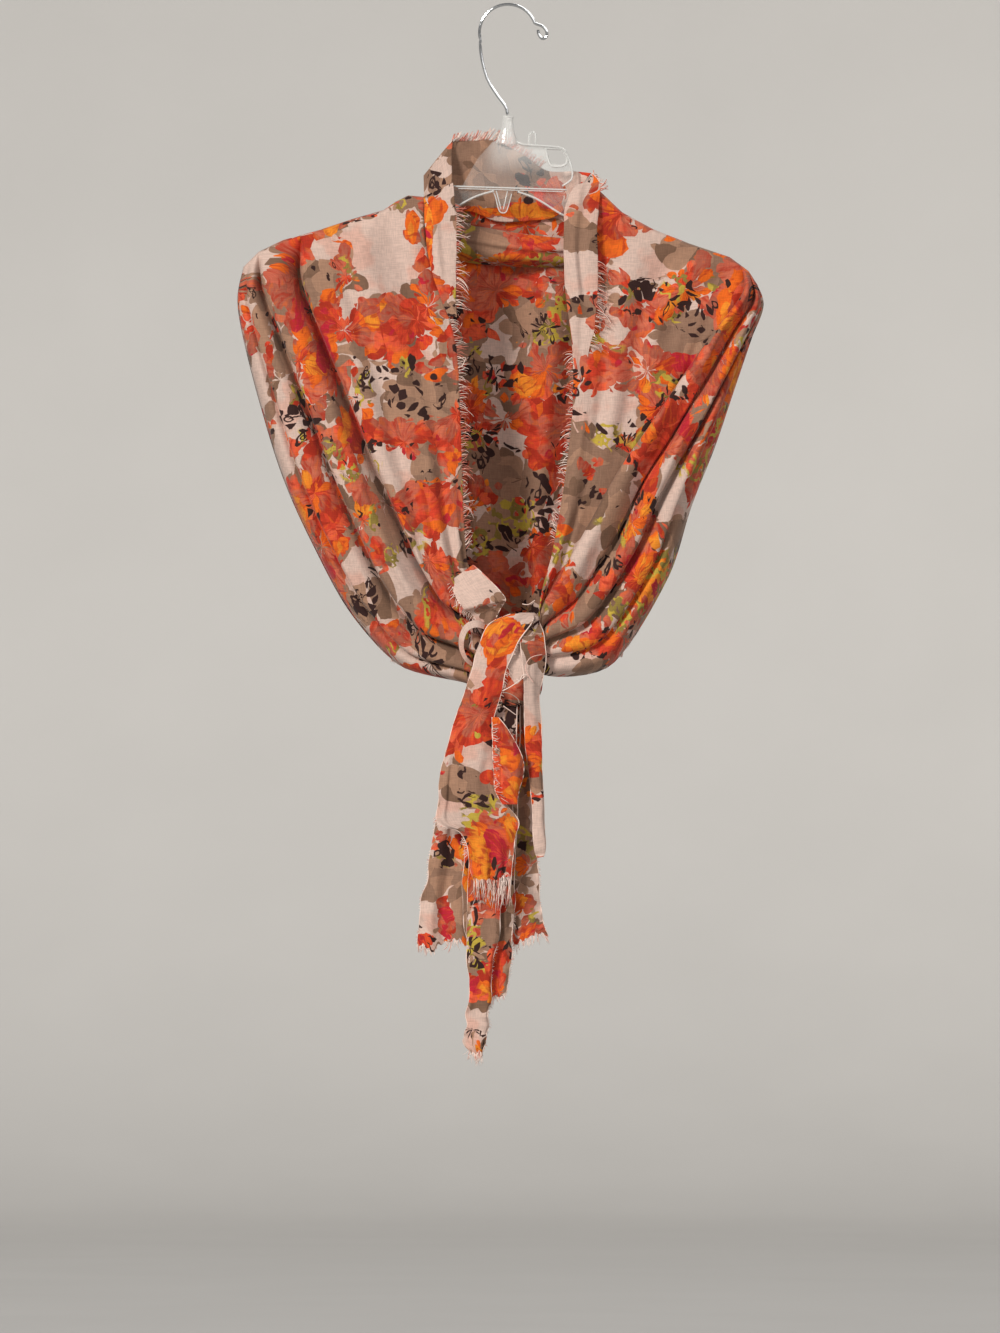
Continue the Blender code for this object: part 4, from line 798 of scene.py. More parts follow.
def printed_gauze(name, coral, taupe=0.0):
    """Loosely painted flowers and leaves printed on fine gauze. coral and taupe lean the whole print."""
    n = Nodes(name)
    place = n.attribute("cloth_place")
    lean_coral, lean_taupe, lean_lime = n.parts(n.attribute("lean_masses"))
    lean_orange, lean_dark, lean_crimson = n.parts(n.attribute("lean_marks"))

    # Brush wander, broad and fine: all of the print's edges follow it.
    painted = place
    for size, reach in ((22, 0.10), (5, 0.02)):
        wander = n.vector("SUBTRACT", n.noise(place, size, 1, colour=True), (0.5, 0.5, 0.5))
        painted = n.vector("ADD", painted, n.scaled(wander, reach))

    colour = n.mix(n.noise(painted, 60, 1, shift=3.1), PALE, PALE_GREY)
    colour = n.mix(n.step(n.noise(painted, 34, shift=5.7), 0.52, 0.62, 0, 0.55), colour, PINK)

    # Taupe leaves: pointed lobes round their stems, each lobe in its own tone.
    lobe, chance, seat, _ = n.petals(painted, spread=62, count=9, length=17, shift=3)
    roll, roll_b, _ = n.parts(chance)
    field = n.plus(n.noise(seat, 44, 1.5, 0.55, 11.3), n.times(lean_taupe, 0.32), n.times(roll, 0.09))
    field = n.minus(field, n.times(n.math("POWER", lobe, 2), 0.22))
    leaf = n.step(field, 0.470 - taupe, 0.482 - taupe)
    brown = n.mix(n.step(roll_b, 0.45, 0.47), TAUPE, TAUPE_WARM)
    brown = n.mix(n.step(roll_b, 0.78, 0.80), brown, TAUPE_DEEP)
    colour = n.mix(leaf, colour, brown)

    # Coral flowers: rings of pointed petals, each petal in one flat tone, warmer ones in patches.
    petal, chance, seat, streak = n.petals(painted, spread=56, count=13, length=11.5, shift=9)
    roll, roll_b, roll_c = n.parts(chance)
    field = n.plus(n.noise(seat, 40, 1.5, 0.55, 23.7), n.times(lean_coral, 0.32), n.times(roll, 0.12))
    field = n.minus(field, n.times(n.math("POWER", petal, 2), 0.22))
    bloom = n.step(field, 0.540 - coral, 0.552 - coral)
    red = n.mix(n.step(roll_b, 0.36, 0.38), BRICK, CORAL)
    red = n.mix(n.step(roll_b, 0.72, 0.74), red, CORAL_LIGHT)
    red = n.mix(n.step(n.noise(painted, 26, 1, shift=29), 0.47, 0.53, 0, 0.42), red, TAUPE_WARM)
    warm = n.plus(n.noise(seat, 24, 1, 0.6, 31.9), n.times(lean_orange, 0.22), n.times(roll_c, 0.12))
    red = n.mix(n.step(warm, 0.63, 0.645), red, ORANGE)
    red = n.mix(n.step(warm, 0.74, 0.755), red, AMBER)
    berry = n.plus(n.noise(painted, 21, 2, 0.55, 36.3), n.times(lean_crimson, 0.25))
    red = n.mix(n.step(berry, 0.655, 0.68), red, CRIMSON)
    red = n.mix(n.step(streak, 0.50, 0.72, 0, 0.75), red, BRICK)
    red = n.mix(n.step(streak, 0.48, 0.30, 0, 0.40), red, ORANGE)
    red = n.mix(n.step(petal, 0.35, 0.75, 0, 0.30), red, BRICK)
    colour = n.mix(bloom, colour, red)

    # Lime squiggles and their olive shade.
    squiggle = n.math("ABSOLUTE", n.minus(n.noise(painted, 11, 1.5, shift=47.7), 0.5))
    near = n.plus(n.noise(painted, 42, 1, shift=52.3), n.times(lean_lime, 0.4))
    lime = n.times(n.step(near, 0.60, 0.64), n.step(squiggle, 0.050, 0.062, 1, 0))
    green = n.mix(n.step(n.noise(painted, 14, 0, shift=49), 0.52, 0.54), LIME, OLIVE)
    colour = n.mix(lime, colour, green)

    # Dark leaflets round their twigs, some of them hollow, then blots, and the twigs.
    crowd = n.plus(n.noise(painted, 40, 1, shift=58.1), n.times(lean_dark, 0.3))
    for shift, spread, count, length in ((15, 46, 12, 18), (21, 62, 12, 26)):
        gap, chance, _, _ = n.petals(painted, spread, count, length, shift, 1.5)
        size, seen, hollow = n.parts(chance)
        edge = n.plus(n.times(size, 0.17), 0.18)
        mark = n.step(n.minus(gap, edge), -0.02, 0.02, 1, 0)
        core = n.step(n.minus(gap, n.times(edge, 0.55)), -0.02, 0.02, 1, 0)
        core = n.times(core, n.step(hollow, 0.72, 0.73))
        here = n.step(n.plus(crowd, n.times(seen, 0.18)), 0.660, 0.670)
        colour = n.mix(n.times(n.minus(mark, core), here), colour, BROWN)
    blot = n.plus(n.noise(painted, 15, 1, shift=92), n.times(lean_dark, 0.16))
    colour = n.mix(n.step(blot, 0.755, 0.77), colour, BROWN)
    twig = n.math("ABSOLUTE", n.minus(n.noise(painted, 24, 1, shift=96), 0.5))
    here = n.plus(crowd, n.times(n.noise(painted, 9, 0, shift=99), 0.45))
    twig = n.times(n.step(twig, 0.010, 0.017, 1, 0), n.step(here, 0.885, 0.90))
    colour = n.mix(twig, colour, BROWN)

    # The weave: two sets of fine threads, a little uneven.
    x, y, _ = n.parts(place)
    weft = n.noise(n.join(n.times(x, 0.12), y), 0.9, 1, shift=70)
    warp = n.noise(n.join(x, n.times(y, 0.12)), 0.9, 1, shift=80)
    weave = n.plus(weft, warp)
    colour = n.scaled(colour, n.step(weave, 0.75, 1.25, 0.88, 1.06))
    slack = n.noise(place, 26, 3, shift=90)
    relief = n.bump(n.plus(n.times(weave, 0.25), n.times(slack, 0.9)), 0.0012, 0.55)

    gloss = {"Roughness": 0.82, "Specular IOR Level": 0.25, "Sheen Weight": 0.12, "Sheen Roughness": 0.5}
    skin = n.skin({"Base Color": colour, "Normal": relief} | gloss)
    through = n.add("BsdfTranslucent", {"Color": colour, "Normal": relief}).outputs[0]
    return n.finish(n.add("MixShader", {0: SHEER, 1: skin, 2: through}).outputs[0])


def thread_finish():
    """Loose cotton threads: most are pale and some are coral or taupe, more of them in patches above
    the knot, as the print's edge is."""
    n = Nodes("fringe_thread_cotton")
    shade, chance, _ = n.parts(n.attribute("thread_shade"))
    colour = n.mix(shade, THREAD_PALE, THREAD_PINK)
    place = n.own_place()
    above_knot = n.step(n.parts(place)[2], -0.50, -0.46)
    printed = n.times(n.step(n.noise(place, PRINT_UNIT / 45), 0.44, 0.54, 0, 0.45), above_knot)
    colour = n.mix(n.step(n.plus(chance, printed), 0.80, 0.82), colour, THREAD_CORAL)
    colour = n.mix(n.step(chance, 0.94, 0.96), colour, THREAD_TAUPE)
    twist = n.noise(n.attribute("thread_shade"), 3)
    colour = n.mix(n.times(twist, 0.25), colour, THREAD_WHITE)
    return n.finish(n.skin({"Base Color": colour, "Roughness": 0.8, "Specular IOR Level": 0.2}))


def plastic_finish(name, alpha, milky, clear):
    """Clear moulded plastic, with faint flow lines and scuffs. It is milky where it is thick, at the
    neck and the hub's right side."""
    n = Nodes(name)
    place = n.own_place()
    x, _, z = n.parts(place)
    thick = n.times(n.step(x, -0.022, -0.006), n.step(z, -0.146, -0.120))
    flow = n.noise(n.vector("MULTIPLY", place, (60, 60, 240)), PRINT_UNIT, 3)
    skin = n.skin({
        "Base Color": n.mix(flow, "#FAFAF8", "#ECEEEC"),
        "Roughness": n.step(flow, 0.3, 0.8, 0.04, 0.12),
        "IOR": 1.49,
        "Transmission Weight": clear,
        "Alpha": n.plus(n.times(thick, milky), alpha),
        "Normal": n.bump(flow, 0.0004, 0.3),
    })
    return n.finish(skin)


def chrome_finish():
    """Bright plated wire with fine drawing lines."""
    n = Nodes("hook_chrome")
    lines = n.noise(n.own_place(), PRINT_UNIT / 900)
    skin = n.skin({
        "Base Color": n.mix(lines, "#D6D8DA", "#BFC2C5"),
        "Metallic": 1,
        "Roughness": n.step(lines, 0.3, 0.8, 0.10, 0.24),
        "Normal": n.bump(lines, 0.0001, 0.2),
    })
    return n.finish(skin)


GAUZE = {
    "coral_gauze": printed_gauze("coral_gauze_print", coral=0.055),
    "taupe_gauze": printed_gauze("taupe_gauze_print", coral=0.03, taupe=0.03),
    "pale_gauze": printed_gauze("pale_gauze_print", coral=-0.02, taupe=-0.03),
}
THREAD = thread_finish()


# ------------------------------ curves


def read_rows(rows, places):
    """A table's rows read at places from 0 to 1, on a smooth curve through them."""
    values = np.array(rows, float)
    last = len(values) - 1
    place = np.clip(np.asarray(places, float), 0, 1) * last
    first = np.clip(place.astype(int), 0, last - 1)
    part = (place - first)[..., None]
    start, end = values[first], values[first + 1]
    leave = (end - values[np.maximum(first - 1, 0)]) / 2
    arrive = (values[np.minimum(first + 2, last)] - start) / 2
    square, cube = part**2, part**3
    return (
        (2 * cube - 3 * square + 1) * start
        + (cube - 2 * square + part) * leave
        + (3 * square - 2 * cube) * end
        + (cube - square) * arrive
    )


def running(steps):
    """The running total of steps along the last axis, from 0 on."""
    return np.concatenate([np.zeros_like(steps[..., :1]), np.cumsum(steps, axis=-1)], axis=-1)


def line_run(points):
    """How far along a polyline each of its points lies."""
    return running(np.linalg.norm(np.diff(points, axis=0), axis=1))


def read_columns(values, run, at):
    return np.stack([np.interp(at, run, column) for column in values.T], axis=-1)


def read_line(points, places):
    """A polyline's points read at places from 0 to 1 of its length."""
    points = np.array(points, float)
    run = line_run(points)
    return read_columns(points, run / run[-1], places)


def ease(part):
    part = np.clip(part, 0, 1)
    return part * part * (3 - 2 * part)


def quarter_round(part):
    """How far a quarter circle has come out, from 0 to 1, when part of its depth is passed."""
    return np.sqrt(1 - (1 - np.clip(part, 0, 1)) ** 2)


def cubic_through(values, places):
    """The cubic through four values at 0, 1/3, 2/3 and 1."""
    nodes = [0, 1 / 3, 2 / 3, 1]
    total = 0
    for i, value in enumerate(values):
        term = value
        for j, node in enumerate(nodes):
            if j != i:
                term = term * (places - node) / (nodes[i] - node)
        total = total + term
    return total


LATTICE = (61, 67)


def uneven(u, v, seed):
    """Smooth unevenness from -1 to 1 over a plane, one lattice step to a unit."""
    lattice = np.random.default_rng(seed).uniform(-1, 1, LATTICE)
    i, j = np.floor(u).astype(int), np.floor(v).astype(int)
    a, b = ease(u - i), ease(v - j)
    rows, columns = LATTICE
    corners = [lattice[(i + di) % rows, (j + dj) % columns] for di in (0, 1) for dj in (0, 1)]
    low = corners[0] + (corners[1] - corners[0]) * b
    high = corners[2] + (corners[3] - corners[2]) * b
    return low + (high - low) * a


def rippled(ripple, across, down, seed, start=0):
    """How far soft ripples stand out at places in millimetres. start moves them along."""
    return ripple.height * uneven(across / ripple.across + start, down / ripple.down + start, seed)


def crease_height(creases, across, down, width):
    """How far the creases stand out at places on a panel whose width in millimetres is given."""
    total = np.zeros(np.broadcast(across, down).shape)
    for crease in creases:
        run = (down - crease.down) / (crease.end_down - crease.down)
        centre = crease.across + (crease.end_across - crease.across) * run
        centre = centre + 0.25 * crease.width / width * np.sin(7 * run + 40 * crease.across)
        away = (across - centre) * width / crease.width
        ends = ease((run + 0.02) / 0.25) * ease((1.02 - run) / 0.3)
        total += crease.height * ends * np.exp(-(away**2))
    return total


# ------------------------------ meshes

# A sheet's edges, and the points a little inside them, as rows and columns of its grid.
ALL = slice(None)
EDGES = {"top": (0, ALL), "end": (-1, ALL), "a": (ALL, 0), "b": (ALL, -1)}
INSIDE = {"end": (-4, ALL), "a": (ALL, 3), "b": (ALL, -4)}


def sheet_normals(grid, level):
    """The sheet's normals. The edges named in level keep theirs out of Y."""
    normals = np.cross(np.gradient(grid, axis=0), np.gradient(grid, axis=1))
    for edge in level:
        normals[EDGES[edge] + (1,)] = 0
    return normals / np.maximum(np.linalg.norm(normals, axis=2, keepdims=True), 1e-9)


def cloth_lengths(grid):
    """Each point's place on the flat cloth, in millimetres, measured along the sheet."""
    across = running(np.linalg.norm(np.diff(grid, axis=1), axis=2))
    middle = grid.shape[1] // 2
    across -= across[:, [middle]]
    return across, np.broadcast_to(-line_run(grid[:, middle])[:, None], across.shape)


def print_leans(points, spots):
    """How the spots lean the print at points, as two vectors: the masses and the marks."""
    total = np.zeros((len(points), len(Lean._fields)))
    for spot in spots:
        away = ((points[:, 0] - spot.x) / spot.width) ** 2 + ((points[:, 2] - spot.z) / spot.height) ** 2
        total += np.exp(-(away**1.5))[:, None] * np.array(LEANS[spot.hue])
    total = np.clip(total, -1, 1)
    return total[:, :3], total[:, 3:]


def mesh_object(name, points, faces, finish):
    mesh = bpy.data.meshes.new(name)
    mesh.from_pydata(points, [], faces)
    mesh.shade_smooth()
    mesh.materials.append(finish)
    made = bpy.data.objects.new(name, mesh)
    bpy.context.scene.collection.objects.link(made)
    return made


def piece(name, points, faces, finish):
    """A mesh on the part, from points in millimetres."""
    made = mesh_object(name, (np.asarray(points) * MM).tolist(), faces, finish)
    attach(made, "root")
    return made


def store(made, name, vectors):
    layer = made.data.attributes.new(name, "FLOAT_VECTOR", "POINT")
    layer.data.foreach_set("vector", np.ascontiguousarray(vectors, np.float32).ravel())


def shell_faces(rows, columns):
    """The faces of a closed shell: both sides of a grid, and the rim between them."""
    corner = (np.arange(rows - 1)[:, None] * columns + np.arange(columns - 1)).ravel()
    front = np.stack([corner, corner + 1, corner + columns + 1, corner + columns], axis=1)
    behind = rows * columns
    rim = list(range(columns)) + [i * columns + columns - 1 for i in range(1, rows)]
    rim += [(rows - 1) * columns + j for j in range(columns - 2, -1, -1)]
    rim += [i * columns for i in range(rows - 2, 0, -1)]
    rim = np.array(rim)
    after = np.roll(rim, -1)
    sides = np.stack([after, rim, behind + rim, behind + after], axis=1)
    return np.concatenate([front, behind + front[:, ::-1], sides]).tolist()


def sheet(name, grid, slot, spots, shift, lengths=None, level=()):
    """A closed shell of cloth on a grid of points, in place of the part's node of this name. shift is
    where it lies on the print."""
    normals = sheet_normals(grid, level)
    sides = [grid + normals * CLOTH / 2, grid - normals * CLOTH / 2]
    points = np.concatenate([side.reshape(-1, 3) for side in sides])
    made = piece(name + "_gauze", points, shell_faces(*grid.shape[:2]), GAUZE[slot])
    shape = bmesh.new()
    shape.from_mesh(made.data)
    bmesh.ops.recalc_face_normals(shape, faces=shape.faces)
    shape.to_mesh(made.data)
    shape.free()
    u, v = lengths or cloth_lengths(grid)
    place = np.stack([u + shift[0], v + shift[1], np.zeros_like(u)], axis=-1).reshape(-1, 3)
    masses, marks = print_leans(grid.reshape(-1, 3), spots)
    layers = {"cloth_place": place / PRINT_UNIT, "lean_masses": masses, "lean_marks": marks}
    for layer, values in layers.items():
        store(made, layer, np.concatenate([values, values]))
    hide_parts(name)
    return made


def tubes(name, paths, radii, seed=0, sides=3, finish=THREAD):
    """Fine rods as one mesh: paths are rods by steps by place, radii by rods and steps."""
    count, steps = radii.shape
    ahead = np.gradient(paths, axis=1)
    ahead /= np.linalg.norm(ahead, axis=2, keepdims=True)
    beside = np.cross(ahead, (0.31, 0.22, 0.93))
    beside /= np.linalg.norm(beside, axis=2, keepdims=True)
    above = np.cross(ahead, beside)
    turns = 2 * np.pi * np.arange(sides) / sides
    ring = beside[:, :, None] * np.cos(turns)[:, None] + above[:, :, None] * np.sin(turns)[:, None]
    points = paths[:, :, None] + ring * radii[:, :, None, None]
    base = (np.arange(count) * steps * sides)[:, None, None]
    here = base + np.arange(steps - 1)[:, None] * sides + np.arange(sides)
    beyond = base + np.arange(steps - 1)[:, None] * sides + (np.arange(sides) + 1) % sides
    walls = np.stack([here, beyond, beyond + sides, here + sides], axis=-1).reshape(-1, 4)
    starts = (base[:, 0] + np.arange(sides)[::-1]).tolist()
    ends = (base[:, 0] + (steps - 1) * sides + np.arange(sides)).tolist()
    made = piece(name, points.reshape(-1, 3), walls.tolist() + starts + ends, finish)
    shades = np.random.default_rng(seed).uniform(0, 1, (count, 3))
    store(made, "thread_shade", np.repeat(shades, steps * sides, axis=0))
    return made


THREAD_STEPS = 8  # how many places a thread's path has
TUFT = 6.0  # how long the stretches are whose threads lean the same way
BUNCH = 9.0  # and those that have longer or shorter threads
SUNK = 0.04  # the share of a thread that is inside the edge


def threads(name, starts, ways, fringe, seed):
    """Loose threads along an edge. ways are the directions that they take."""
    chance = np.random.default_rng(seed)
    run = line_run(starts)
    count = max(int(run[-1] / fringe.spacing), 2)
    at = np.sort((np.arange(count) + chance.uniform(0, 1, count)) / count * run[-1])
    roots, way = read_columns(starts, run, at), read_columns(ways, run, at)
    along = read_columns(np.gradient(starts, axis=0), run, at)
    along /= np.linalg.norm(along, axis=1, keepdims=True)
    out = np.cross(along, way)
    out *= np.sign(-out[:, 1:2] + 1e-9)
    tuft = np.array([uneven(at / TUFT, 3.5, seed + 60 + k) for k in range(3)]).T
    bunch = uneven(at / BUNCH, 8.5, seed + 70)[:, None]

    def draw(spread=1.0):
        return chance.normal(0, spread, (count, 1))

    # Each thread leans, curls, lifts and is long by its own chance, and partly as its tuft does.
    lean = fringe.lean + 0.5 * fringe.wild * tuft[:, :1] + 0.35 * fringe.wild * draw()
    curl = 0.7 * fringe.wild * (tuft[:, 1:2] + draw(0.6))
    lift = fringe.lift + 0.12 * draw()
    length = fringe.reach * np.clip(0.74 + 0.30 * tuft[:, 2:] + 0.16 * draw(), 0.2, 1)
    length = length * np.clip(1 + 1.8 * fringe.wild * (bunch - 0.1), 0.12, 1)
    parts = np.linspace(0, 1, THREAD_STEPS)
    paths = []
    for step in parts:
        gone = step - 0.25 * np.minimum(curl**2, 1) * step**2 - SUNK
        place = roots + way * length * gone * (1 + SUNK)
        place = place + along * length * (lean * step + curl * step**2)
        place = place + out * length * (lift * step + 0.10 * np.sin(5 * step + 9 * curl))
        paths.append(place - np.array([0, 0, fringe.hang]) * length * step**2)
    paths = np.stack(paths, axis=1)
    radii = fringe.thick * chance.uniform(0.7, 1.2, (count, 1)) * (1 - 0.5 * parts**2)
    return tubes(name, paths, radii, seed)


# ------------------------------ large panels


def crowded(count):
    """Places from 0 to 1 down a panel, which crowd together at the shoulder."""
    return (np.arange(count) / (count - 1)) ** ROW_CROWDING


def pleat_columns(pleats, places, width, seed):
    """Where each column lies across a front, and how far it stands out, at places down it. Fold
    edges lap over themselves."""
    fade = ease(places / PLEAT_START)
    fade = fade * (1 - (1 - GATHERED_HEIGHT) * ease((places - GATHER_START) / (1 - GATHER_START)))
    lines = []
    for k, turn in enumerate(pleats):
        wobble = uneven(places * 5 + 3 * k, 0.37 * k, seed) * PLEAT_WOBBLE / width
        lines.append(cubic_through(turn[:4], places) + wobble * ease(places * 4) * (0 < turn.top < 1))
    laps = read_rows(LAP, np.arange(LAP_STEPS) / LAP_STEPS)
    columns, heights = [], []
    for k, (turn, following) in enumerate(zip(pleats, pleats[1:])):
        gap, drop = lines[k + 1] - lines[k], following.height - turn.height
        if turn.edge:
            size = abs(drop) / LAP_DEPTH * fade / width
            for step in range(LAP_STEPS):
                # A rising lap is a falling one read backwards.
                out, share = laps[step] if drop < 0 or step == 0 else laps[-step] * (1, -1) + (0, 1)
                columns.append(lines[k] + gap * share + out * size * (1 if drop < 0 else -1))
                heights.append((turn.height + drop * share) * fade)
        else:
            steps = max(int(np.mean(np.abs(gap) * width) / COLUMN_STEP), 6)
            rolled = k > 0 and pleats[k - 1].edge and turn.height < following.height
            swell = SWELL * np.abs(gap) * width if k > 0 else 0.0
            for step in range(steps):
                part = step / steps
                rise = 1 - (1 - part) ** ROLLED if rolled else ease(part)
                columns.append(lines[k] + gap * part)
                heights.append((turn.height + drop * rise) * fade + swell * math.sin(math.pi * part) * fade)
    columns.append(lines[-1])
    heights.append(np.zeros_like(places))
    return np.stack(columns, axis=1), np.stack(heights, axis=1) * FOLD_DEPTH


def knot_side(z, side):
    """Where the knot's left (-1) or right (1) side lies at a height."""
    rows = sorted(KNOT, key=lambda row: row.z)
    values = [row.left if side < 0 else row.right for row in rows]
    return np.interp(np.minimum(z, KNOT_TOP), [row.z for row in rows], values)


def front_sheet(panel):
    """A front's points, from the shoulder down to the knot and from the opening out to the side, and
    each point's place on the flat cloth."""
    side, seed = panel.side, 3 + panel.side
    down = crowded(FRONT_ROWS)
    level = down[:, None]
    rows = read_rows(panel.table, down)[:, None, :]
    outer_x, outer_z, inner_x, inner_z, depth, side_y = (rows[..., k] for k in range(6))
    width = np.hypot(outer_x[:, 0] - inner_x[:, 0], outer_z[:, 0] - inner_z[:, 0])
    across, height = pleat_columns(panel.pleats, down, width, seed)
    top = panel.table[0]
    line = read_line(panel.shoulder, across)
    fade = (1 - level) ** SHOULDER_FADE
    flat_x = top.inner_x + (top.outer_x - top.inner_x) * across
    flat_z = top.inner_z + (top.outer_z - top.inner_z) * across
    x = inner_x + (outer_x - inner_x) * across + (line[..., 0] - flat_x) * fade
    z = inner_z + (outer_z - inner_z) * across + (line[..., 1] - flat_z) * fade
    over_arm = ARM_ROLL * quarter_round(level * RAY / ARM_ROLL)
    soft = crease_height(panel.creases, across, level, width[:, None])
    soft += rippled(FRONT_RIPPLE, across * FRONT_WIDTH, level * RAY, seed + 1)
    soft += rippled(FRONT_FINE_RIPPLE, across * FRONT_WIDTH, level * RAY, seed + 2) * ease(level * 3)
    forward = over_arm + depth + height + soft * ease(level / SMOOTH_TOP)
    turn = quarter_round((1 - across) / SIDE_TURN)
    y = -side_y - (forward - side_y) * turn
    y[:, :-1] = np.minimum(y[:, :-1], -side_y - CLOTH / 2)
    near_knot = ease((level - NEAR_KNOT) / (1 - NEAR_KNOT))
    x = x + (knot_side(z, side) - side * 1.5 - x) * near_knot
    u = x[:, :1] + side * running(np.hypot(np.diff(x, axis=1), np.diff(y, axis=1)))
    return np.stack([x, y, z], axis=-1), (u, z - over_arm)


def side_line(table, places):
    """The line down a side, where front and back meet: x, y and z."""
    rows = read_rows(table, places)
    return np.stack([rows[..., 0], -rows[..., 5], rows[..., 1]], axis=-1)


def back_sheet():
    """The back's points, from the upper edge down to the hem and from the left side to the right, and
    each point's place on the flat cloth."""
    down = SIDE_ENDS * crowded(BACK_ROWS)
    part = (down / down[-1])[:, None, None]
    across = (1 - np.cos(np.linspace(0, np.pi, BACK_COLUMNS))) / 2
    upper = [(row.x, 0, row.z) for row in reversed(LEFT_SHOULDER)]
    upper += list(NECK_LINE) + [(row.x, 0, row.z) for row in RIGHT_SHOULDER]
    upper = np.array(upper, float)
    wanted = upper[0, 0] + (upper[-1, 0] - upper[0, 0]) * across
    upper = read_columns(upper, upper[:, 0], wanted)
    left = side_line(LEFT_FRONT, down)[:, None, :]
    right = side_line(RIGHT_FRONT, down)[:, None, :]
    hem = left[-1] + (right[-1] - left[-1]) * across[:, None]
    sag = (HEM_SAG + HEM_WAVE * uneven(across * 11, 50, 9)) * np.sin(np.pi * across) ** 0.8
    hem = hem - np.outer(sag, (0, 0, 1))
    side = across[None, :, None]
    corners = (1 - side) * ((1 - part) * left[0] + part * left[-1])
    corners = corners + side * ((1 - part) * right[0] + part * right[-1])
    grid = (1 - part) * upper + part * hem + (1 - side) * left + side * right - corners
    side, part, neck_y = side[..., 0], part[..., 0], upper[None, :, 1]
    depth = read_rows(BACK_DEPTH, part)
    on_arm = 1 - np.clip(neck_y / NECK_ROLL_END, 0, 1)
    roll = ARM_ROLL * quarter_round(down[:, None] * RAY / ARM_ROLL)
    roll = roll * (on_arm + (1 - on_arm) * ease(part / 0.4))
    sides = (1 - side) * left[..., 1] + side * right[..., 1]
    soft = crease_height(BACK_CREASES, across[None, :], part, BACK_WIDTH)
    soft += rippled(BACK_RIPPLE, grid[..., 0], grid[..., 2], 5, 40)
    middle = np.sin(np.pi * across) ** 2
    away = (1 - part) ** 3 * neck_y + roll + depth[..., 0] + depth[..., 1] * middle
    away = away + soft * ease(part / (2 * SMOOTH_TOP))
    turn = quarter_round(np.minimum(across, 1 - across) / BACK_TURN)
    grid[..., 1] = sides + (away - sides) * turn
    inner = slice(1, -1)
    grid[:, inner, 1] = np.maximum(grid[:, inner, 1], sides[:, inner] + CLOTH / 2)
    u = running(np.hypot(np.diff(grid[..., 0], axis=1), np.diff(grid[..., 1], axis=1)))
    u = u - u[:, [BACK_COLUMNS // 2]]
    return grid, (u, grid[..., 2] - roll)


# ------------------------------ ribbons


RIBBON_RIPPLE = Ripple(0.35, 5, 35)
EDGE_BAND = 5.0  # how far in from its edge a ribbon flutters
RAGGED_FROM = 0.8  # how far down a ribbon its end starts to be ragged


def ribbon(plan, seed):
    """A sheet between the two edges that a stretch's table gives, which bulges forward, has ridges,
    flutters at its edges and is ragged at its lower end."""
    rows, columns = plan.rows, plan.columns
    down = np.linspace(0, 1, rows)
    values = read_rows(plan.table, down)[:, None, :]
    part = np.broadcast_to(np.linspace(0, 1, columns), (rows, columns))
    edge_to_edge = values[..., 3:6] - values[..., :3]
    grid = values[..., :3] + edge_to_edge * part[..., None]
    width = np.linalg.norm(edge_to_edge[:, 0], axis=1)[:, None]
    level = down[:, None]
    length = np.linalg.norm(np.diff(grid[:, columns // 2], axis=0), axis=1).sum()
    fallen, gone = level * length, part * width
    out = np.zeros((rows, columns))
    for ridge in plan.ridges:
        centre = ridge.top + (ridge.end - ridge.top) * level
        centre = centre + RIDGE_WOBBLE / width * uneven(fallen / 30, 7 * ridge.top, seed + 3)
        away = (part - centre) * width / ridge.width
        grown = ease((level - ridge.start) / RIDGE_GROWTH) * ease((ridge.stop - level) / RIDGE_GROWTH)
        grown = grown * (1 + RIDGE_UNEVEN * uneven(fallen / 35, 11 * ridge.top, seed + 4))
        out = out + ridge.height * grown * np.exp(-(away**2))
    drift = RIDGE_LEAN * out * ease(np.minimum(part, 1 - part) / 0.15)
    out = out + values[..., 6] * np.sin(np.pi * part)
    out = out + rippled(RIBBON_RIPPLE, gone, fallen + 9 * RIBBON_RIPPLE.down, seed)
    for side, seat in ((-1, part), (1, 1 - part)):
        near = np.exp(-((seat * width / EDGE_BAND) ** 2)) * ease(level / 0.2) * plan.flutter
        out = out + near * uneven(fallen / 11, 5 * side + 20, seed + 50)
        drift = drift + 0.6 * side * near * uneven(fallen / 16, 5 * side + 30, seed + 51)
    grid = grid + edge_to_edge / width[..., None] * drift[..., None]
    grid[..., 1] -= out
    tattered = uneven(gone / 5, 2, seed + 52) + 0.6 * uneven(gone / 2, 0, seed)
    grid[..., 2] += plan.ragged * tattered * ease((level - RAGGED_FROM) / (1 - RAGGED_FROM))
    return grid


# ------------------------------ pieces


def edge_ways(edge, inside):
    outward = edge - inside
    return outward / np.linalg.norm(outward, axis=1, keepdims=True)


def hem_threads(name, edge, seed):
    return threads(name + "_hem_threads", edge, np.tile([0.0, 0.0, -1.0], (len(edge), 1)), HEM_EDGE, seed)


